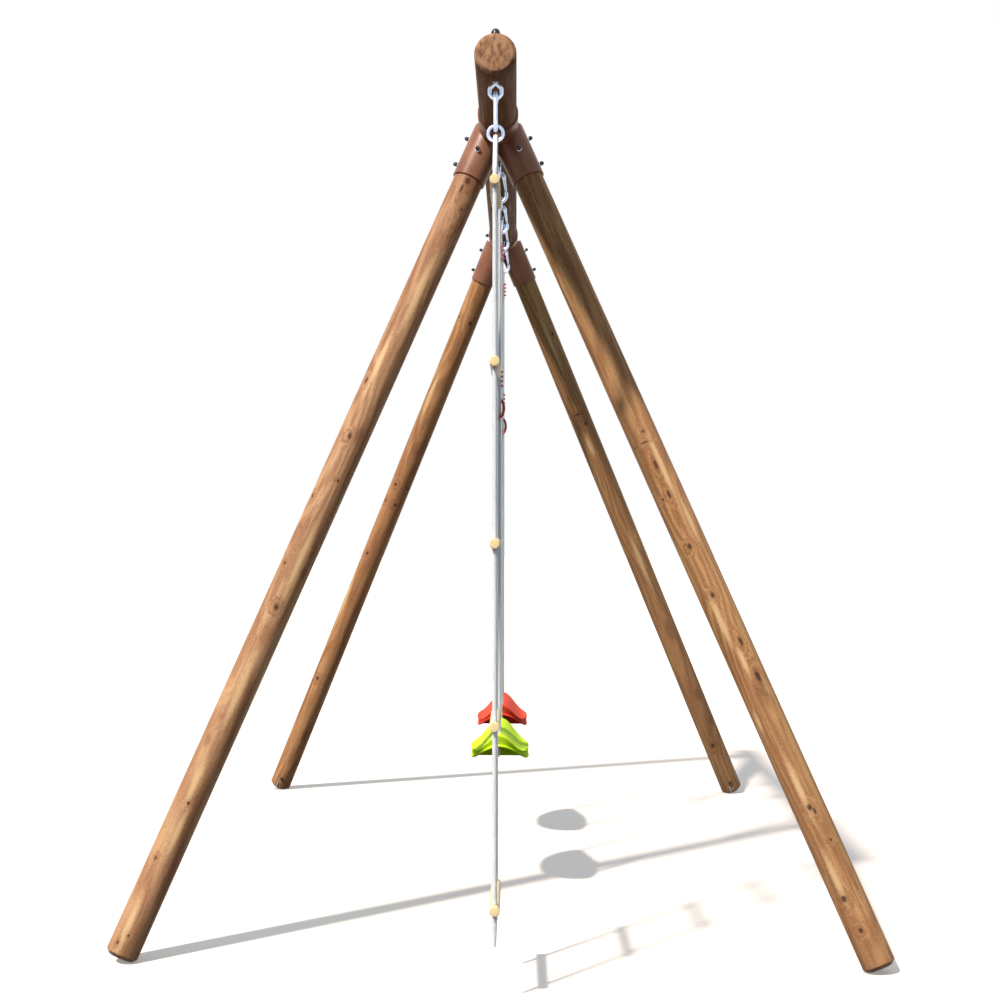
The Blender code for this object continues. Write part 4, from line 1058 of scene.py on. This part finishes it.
def swing_rope(hook_y, hole_y, adjustable):
    """A swing rope's line, from its tail under the seat, up over the hook and down to its clamped end."""

    def run(y, *heights):
        return [Vector((0, y, height)) for height in heights]

    half = COIL_TURNS * COIL_PITCH / 2
    points = [Vector((TAIL_SHIFT, hole_y, height)) for height in TAIL_HEIGHTS] + run(hole_y, *HOLE_HEIGHTS)
    if adjustable:
        reach = ADJUSTER_HALVES[1]
        upper, lower = ADJUSTER_HEIGHT + reach, ADJUSTER_HEIGHT - reach
        side = ADJUSTER_WIRE + ROPE_RADIUS + GAP
        cross = math.degrees(math.asin((STANDING_OFFSET + side) / (2 * reach)))
        bend = ADJUSTER_WIRE + ROPE_RADIUS + 0.0008
        top = ADJUSTABLE_COIL + half
        points += arc((hook_y, lower), side, 0, cross, 6)
        points += arc((hook_y, upper), STANDING_OFFSET, 180 + cross, 180, 6)
        points += run(hook_y - STANDING_OFFSET, top + 0.02)
        points += arc((hook_y, BAR_HEIGHT), BAR_LOOP, 180, 0, 16)
        points += run(hook_y + STRAND, top + 0.02, ADJUSTABLE_COIL - half)
        points += arc((hook_y, upper), bend, 0, -180, 14)
        points += run(hook_y - STRAND, ADJUSTABLE_COIL - half, top + 0.008)
    else:
        aside = math.copysign(STRAND, hole_y - hook_y)
        low, top = FIXED_COIL - half, FIXED_COIL + half
        points += run(hook_y + aside, low - 0.012, top)
        start, stop = (0, 180) if aside > 0 else (180, 0)
        points += arc((hook_y, BAR_HEIGHT), BAR_LOOP, start, stop, 16)
        points += run(hook_y - aside, top, low - 0.008)
    return [point + Vector((0, MIDDLE, 0)) for point in points]


def ladder_line():
    """The ladder rope's line: over the ring and down through both ends of every rung."""
    y = LADDER_PLACE
    ring_bar = BAR_HEIGHT + HOOK_WIRE + GAP + RING_WIRE - 2 * RING_RADIUS
    loop = RING_WIRE + ROPE_RADIUS + GAP
    knee = TOP_RUNG + RUNG_RADIUS + 0.018
    leave = 90 - math.degrees(math.atan2(ring_bar - knee, LADDER_HALF))
    top = arc((y, ring_bar), loop, 180 - leave, leave, 12)
    left = [Vector((0, y - LADDER_HALF, LADDER_TAIL_FOOT)), Vector((0, y - LADDER_HALF, knee)), top[0]]
    right = [top[-1], Vector((0, y + LADDER_HALF, knee)), Vector((0, y + LADDER_HALF, LADDER_TAIL_FOOT))]
    points = [left[0]] + fillet(*left, 0.020, 8) + top + fillet(*right, 0.020, 8) + [right[2]]
    return [point + Vector((0, MIDDLE, 0)) for point in points]


def rope_mesh(name, line):
    points = dense(line, 0.05)
    radii = [ROPE_RADIUS] * len(points)
    return sweep(name, points, radii, 20, round_ends=True)


def knot_mesh(place):
    """The stopper knot under a seat: two slanted wraps round a thickened core."""
    section = [(0, -0.0118), (0.0052, -0.0118), (0.0085, -0.0095), (0.0100, -0.003), (0.0100, 0.003)]
    core = lathe("core", section + [(0.0085, 0.0095), (0.0052, 0.0116), (0, 0.0116)], 24)
    wraps = []
    for tilt, height in ((22, 0.0045), (-20, -0.0045)):
        ring = [Vector((0.0072 * math.cos(a), 0.0072 * math.sin(a), 0)) for a in around(28)]
        wrap = sweep("wrap", ring, 0.0046, 14, closed=True, normal=(0, 0, 1))
        slant = Matrix.Rotation(math.radians(tilt), 4, "X")
        wraps.append(moved(wrap, Matrix.Translation((0, 0, height)) @ slant))
    return moved(joined("knot", [core, *wraps]), Matrix.Translation(place))


def coil_points():
    """A winding round two strands that lie one behind the other along Y, centred on the origin."""
    per_end = 14
    turn = []
    for side in (1, -1):
        for i in range(per_end + 1):
            angle = math.pi * i / per_end + (0 if side > 0 else math.pi)
            turn.append((-COIL_RADIUS * math.cos(angle), -side * STRAND - COIL_RADIUS * math.sin(angle)))
    lengths = [math.dist(turn[i], turn[(i + 1) % len(turn)]) for i in range(len(turn))]
    around = sum(lengths)
    height = COIL_TURNS * COIL_PITCH
    points = [Vector((-COIL_RADIUS, 0, -height / 2))]
    for loop in range(COIL_TURNS):
        gone = STRAND
        for (x, y), length in zip(turn, lengths):
            points.append(Vector((x, y, (loop + gone / around) * COIL_PITCH - height / 2)))
            gone += length
    points.append(Vector((-COIL_RADIUS, 0, height / 2)))
    return points


def make_swing(colour_name, plastic, cord_material, clamp):
    centre = SWING_CENTRES[colour_name]
    body = colour_name + "_swing"
    make_seat(colour_name, plastic, body)
    for side, end in ((-1, "front"), (1, "rear")):
        hook_y, hole_y = centre + side * HOOK_SPACING / 2, centre + side * HOLE_SPACING / 2
        name = f"{colour_name}_{end}"
        rope = rope_mesh("swing_rope", swing_rope(hook_y, hole_y, side < 0))
        piece("swing_rope_" + name, rope, cord_material, body, "rope", "rope_" + name, degrees=60)
        knot = knot_mesh(spot(0, hole_y, KNOT_HEIGHT))
        piece("stopper_knot_" + name, knot, cord_material, body, "rope", degrees=60)
        coil = sweep("coil", coil_points(), COIL_WIRE, 12, round_ends=True)
        place = spot(0, hook_y, ADJUSTABLE_COIL if side < 0 else FIXED_COIL)
        piece("clamp_" + name, coil, clamp, body, "clamp_red", "coil_" + name, degrees=60, place=place)
    ring = hoop("ring", *ADJUSTER_HALVES, ADJUSTER_WIRE, 56, 16)
    place = spot(0, centre - HOOK_SPACING / 2, ADJUSTER_HEIGHT)
    node = "adjuster_" + colour_name
    piece("adjuster_ring_" + colour_name, ring, clamp, body, "clamp_red", node, place=place)


# Seats


def plan_point(angle, share):
    across = SEAT_WIDTH / 2 * math.cos(angle)
    along = SEAT_LENGTH / 2 * math.copysign(abs(math.sin(angle)) ** 0.8, math.sin(angle))
    return across * share, along * share


def crown(across):
    share = min(abs(across) / SEAT_SHOULDER_HALF, 1.0)
    return SEAT_SHOULDER + (SEAT_RIDGE - SEAT_SHOULDER) * (1 + math.cos(math.pi * share)) / 2


def rim(across):
    return SEAT_ARCH - (SEAT_ARCH - SEAT_FLAP) * min(abs(across) / (SEAT_WIDTH / 2), 1.0) ** 1.7


def seat_shell():
    """The seat's outer skin, rolled over at its edge and down a wall to its arched rim."""
    sides = 112
    angles = around(sides, 0.5)
    rows = [(share, 0.0) for share in (0.04, 0.16, 0.28, 0.40, 0.52, 0.63, 0.73, 0.82, 0.89, 0.93)]
    for i in range(7):
        part = math.pi / 2 * i / 6
        rows.append((0.97 + 0.03 * math.sin(part), 1 - math.cos(part)))
    rings = []
    for share, drop in rows:
        ring = []
        for angle in angles:
            across, along = plan_point(angle, share)
            ring.append(Vector((across, along, crown(across) - SEAT_ROLL * drop)))
        rings.append(ring)
    for i in range(1, 6):
        ring = []
        for angle in angles:
            across = plan_point(angle, 1.0)[0]
            top = crown(across) - SEAT_ROLL
            height = top + (rim(across) - top) * i / 5
            ring.append(Vector((*plan_point(angle, 1 - SEAT_LEAN * i / 5), height)))
        rings.append(ring)
    mesh = mesh_from("seat", rings, caps=False)
    work = bmesh.new()
    work.from_mesh(mesh)
    work.verts.ensure_lookup_table()
    work.faces.new([work.verts[i] for i in range(sides)])
    bmesh.ops.recalc_face_normals(work, faces=work.faces)
    outward = sum((face.normal.z * face.calc_area() for face in work.faces), 0.0)
    if outward < 0:
        bmesh.ops.reverse_faces(work, faces=work.faces)
    work.to_mesh(mesh)
    work.free()
    return mesh


def seat_rib():
    half = SEAT_WIDTH / 2 - SEAT_WALL / 2
    across = [-half + 2 * half * i / 40 for i in range(41)]
    rings = []
    for y, shrink in ((-0.002, 0.0006), (-0.0014, 0.0), (0.0014, 0.0), (0.002, 0.0006)):
        ring = [Vector((x, y, crown(x) - SEAT_WALL / 2 - SEAT_ROLL * (abs(x) > 0.9 * half))) for x in across]
        foot = half * (1 - SEAT_LEAN) - shrink
        ring += [Vector((foot, y, RIB_FOOT + shrink)), Vector((-foot, y, RIB_FOOT + shrink))]
        rings.append(ring)
    return mesh_from("rib", rings)


def make_seat(colour_name, plastic, body):
    """A hollow moulded seat with a beaded rim, a cross rib and a collar round each rope hole."""
    shell = linked("shell", seat_shell())
    wall = shell.modifiers.new("wall", "SOLIDIFY")
    wall.thickness = SEAT_WALL
    wall.offset = -1
    top = SEAT_RIDGE - 0.0006
    section = [(ROPE_HOLE, top - 0.003), (0.0104, top - 0.003), (0.0100, top), (0.0086, top + 0.0006)]
    section += [(0.0070, top + 0.0004), (ROPE_HOLE, top - 0.0004)]
    holes, collars = [], []
    for side in (-1, 1):
        place = Matrix.Translation((0, side * HOLE_SPACING / 2, 0))
        hole = lathe("hole", rounded(ROPE_HOLE, SEAT_RIDGE - 0.016, SEAT_RIDGE + 0.02, 0.0005), 32)
        holes.append(moved(hole, place))
        collars.append(moved(lathe("collar", section, 32), place))
    line = []
    for angle in around(160, 0.5):
        height = rim(plan_point(angle, 1.0)[0]) + LIP_RISE
        line.append(Vector((*plan_point(angle, LIP_SHARE - SEAT_LEAN), height)))
    lip = sweep("lip", line, SEAT_LIP, 12, closed=True, normal=(0, 0, 1))
    mesh = joined("seat", [carved(applied(shell), cuts=holes), lip, seat_rib(), *collars])
    slot, node = colour_name + "_plastic", "seat_" + colour_name
    place = spot(0, SWING_CENTRES[colour_name], 0)
    piece("saddle_" + colour_name, mesh, plastic, body, slot, node, degrees=50, place=place)


# Rope ladder


def make_ladder(plate, cord_material):
    link = hoop("ring", RING_RADIUS, RING_RADIUS, RING_WIRE, 64, 18)
    height = BAR_HEIGHT + HOOK_WIRE + GAP + RING_WIRE - RING_RADIUS
    place = spot(0, LADDER_PLACE, height)
    piece("ladder_link", link, plate, "ladder", "zinc", "ladder_ring", place=place)
    cord = rope_mesh("ladder_cord", ladder_line())
    piece("ladder_cord", cord, cord_material, "ladder", "rope", "ladder_rope", degrees=60)
    wood = pale_wood()
    half = RUNG_LENGTH / 2
    for i in range(RUNGS):
        bar = lathe("rung", rounded(RUNG_RADIUS, -half, half, 0.0022, 5), 40)
        holes = []
        for side in (-1, 1):
            hole = lathe("hole", rounded(0.0061, -0.02, 0.02, 0.0005), 24)
            flip = Matrix.Translation((0, 0, side * LADDER_HALF)) @ Matrix.Rotation(math.pi / 2, 4, "X")
            holes.append(moved(hole, flip))
        at = {"place": spot(0, LADDER_PLACE, TOP_RUNG - i * RUNG_PITCH), "turn": ALONG_BEAM}
        bar = carved(bar, cuts=holes)
        piece(f"rung_bar_{i + 1}", bar, wood, "ladder", "rung_wood", f"rung_{i + 1}", degrees=35, **at)


# Ground anchors


def make_anchor(name, side, end, metal, plastic):
    """A stamped strap down the inner face of a leg, with its screw."""
    place, down = leg_lines(side, end)
    inward = Vector((0, -end, 0))
    out = (inward - down * inward.dot(down)).normalized()
    along = (BEAM_HEIGHT + out.z * LEG_RADIUS - ANCHOR_HEAD_HEIGHT) / -down.z
    head = place + down * along + out * LEG_RADIUS
    low, high = GAP, GAP + ANCHOR_THICKNESS
    length = (head.z - ANCHOR_FOOT) / -down.z
    half = ANCHOR_STEM_WIDTH / 2
    disc = lathe("strap", rounded(ANCHOR_HEAD_RADIUS, low, high, 0.0006), 48)
    reach = length + 0.02
    stem = block("stem", (2 * half, reach, high - low - 0.0001), (0, reach / 2, (low + high) / 2), 0.0005)
    ribs = []
    for edge in (-half + 0.002, half - 0.002):
        line = [(edge, y, high) for y in (ANCHOR_HEAD_RADIUS * 0.8, ANCHOR_HEAD_RADIUS, reach)]
        ribs.append(sweep("rib", line, 0.002, 12, round_ends=True))
    hole = lathe("hole", rounded(0.0034, -0.01, 0.02, 0.0003), 24)
    axes = Matrix((down.cross(out), down, out)).transposed().to_4x4()
    ground = block("ground", (0.2, 0.2, 0.2), (0, 0, ANCHOR_FOOT - head.z - 0.1))
    ground.transform(axes.inverted())
    mesh = carved(disc, joins=[stem, *ribs], cuts=[hole, ground])
    mesh.transform(axes)
    piece("strap_" + name, mesh, metal, "frame", "galvanised", "anchor_" + name, degrees=35, place=head)
    seat = 2 * GAP + ANCHOR_THICKNESS
    section = [(0, seat + 0.005), (0.0022, seat + 0.0049), (0.0046, seat + 0.0038), (0.0062, seat + 0.0020)]
    section += [(0.0065, seat + 0.0006), (0.0063, seat), (0.003, seat), (0.003, -0.023), (0, -0.025)]
    screw = lathe("screw", section, 28)
    node, turn = "anchor_screw_" + name, out.to_track_quat("Z", "Y")
    piece("strap_screw_" + name, screw, plastic, "frame", "black_plastic", node, place=head, turn=turn)


def main():
    bpy.context.scene.view_settings.view_transform = "Standard"
    make_camera()
    make_light()
    make_floor()
    cord = braided_rope("rope", 8.0)
    plate = zinc("zinc", ("AFC2E0", "C4D5F0", "D6E3F8"), 0.34, 0.42)
    dull = zinc("galvanised", ("6F7F96", "8494AA", "9AA8BA"), 0.38, 0.5)
    black = moulded_plastic("black_plastic", ("0C0D10", "14161A", "1C1F25"), 0.3)
    clamp = moulded_plastic("clamp_red", ("B02A1C", "C83A28", "D84A36"), 0.34)
    for name, tones in SEAT_TONES.items():
        make_swing(name, moulded_plastic(name + "_plastic", tones, 0.5, 0.02), cord, clamp)
    make_ladder(plate, cord)
    make_beam()
    for seed, (end, end_name) in enumerate(((-1, "front"), (1, "rear"))):
        for side, side_name in ((-1, "left"), (1, "right")):
            name = f"{end_name}_{side_name}"
            make_leg(name, side, end, 2.1 + 3.3 * seed + 1.4 * side)
            make_anchor(name, side, end, dull, black)
    make_corners(painted_steel(), black, plate)
    make_hangers(plate, black)


main()
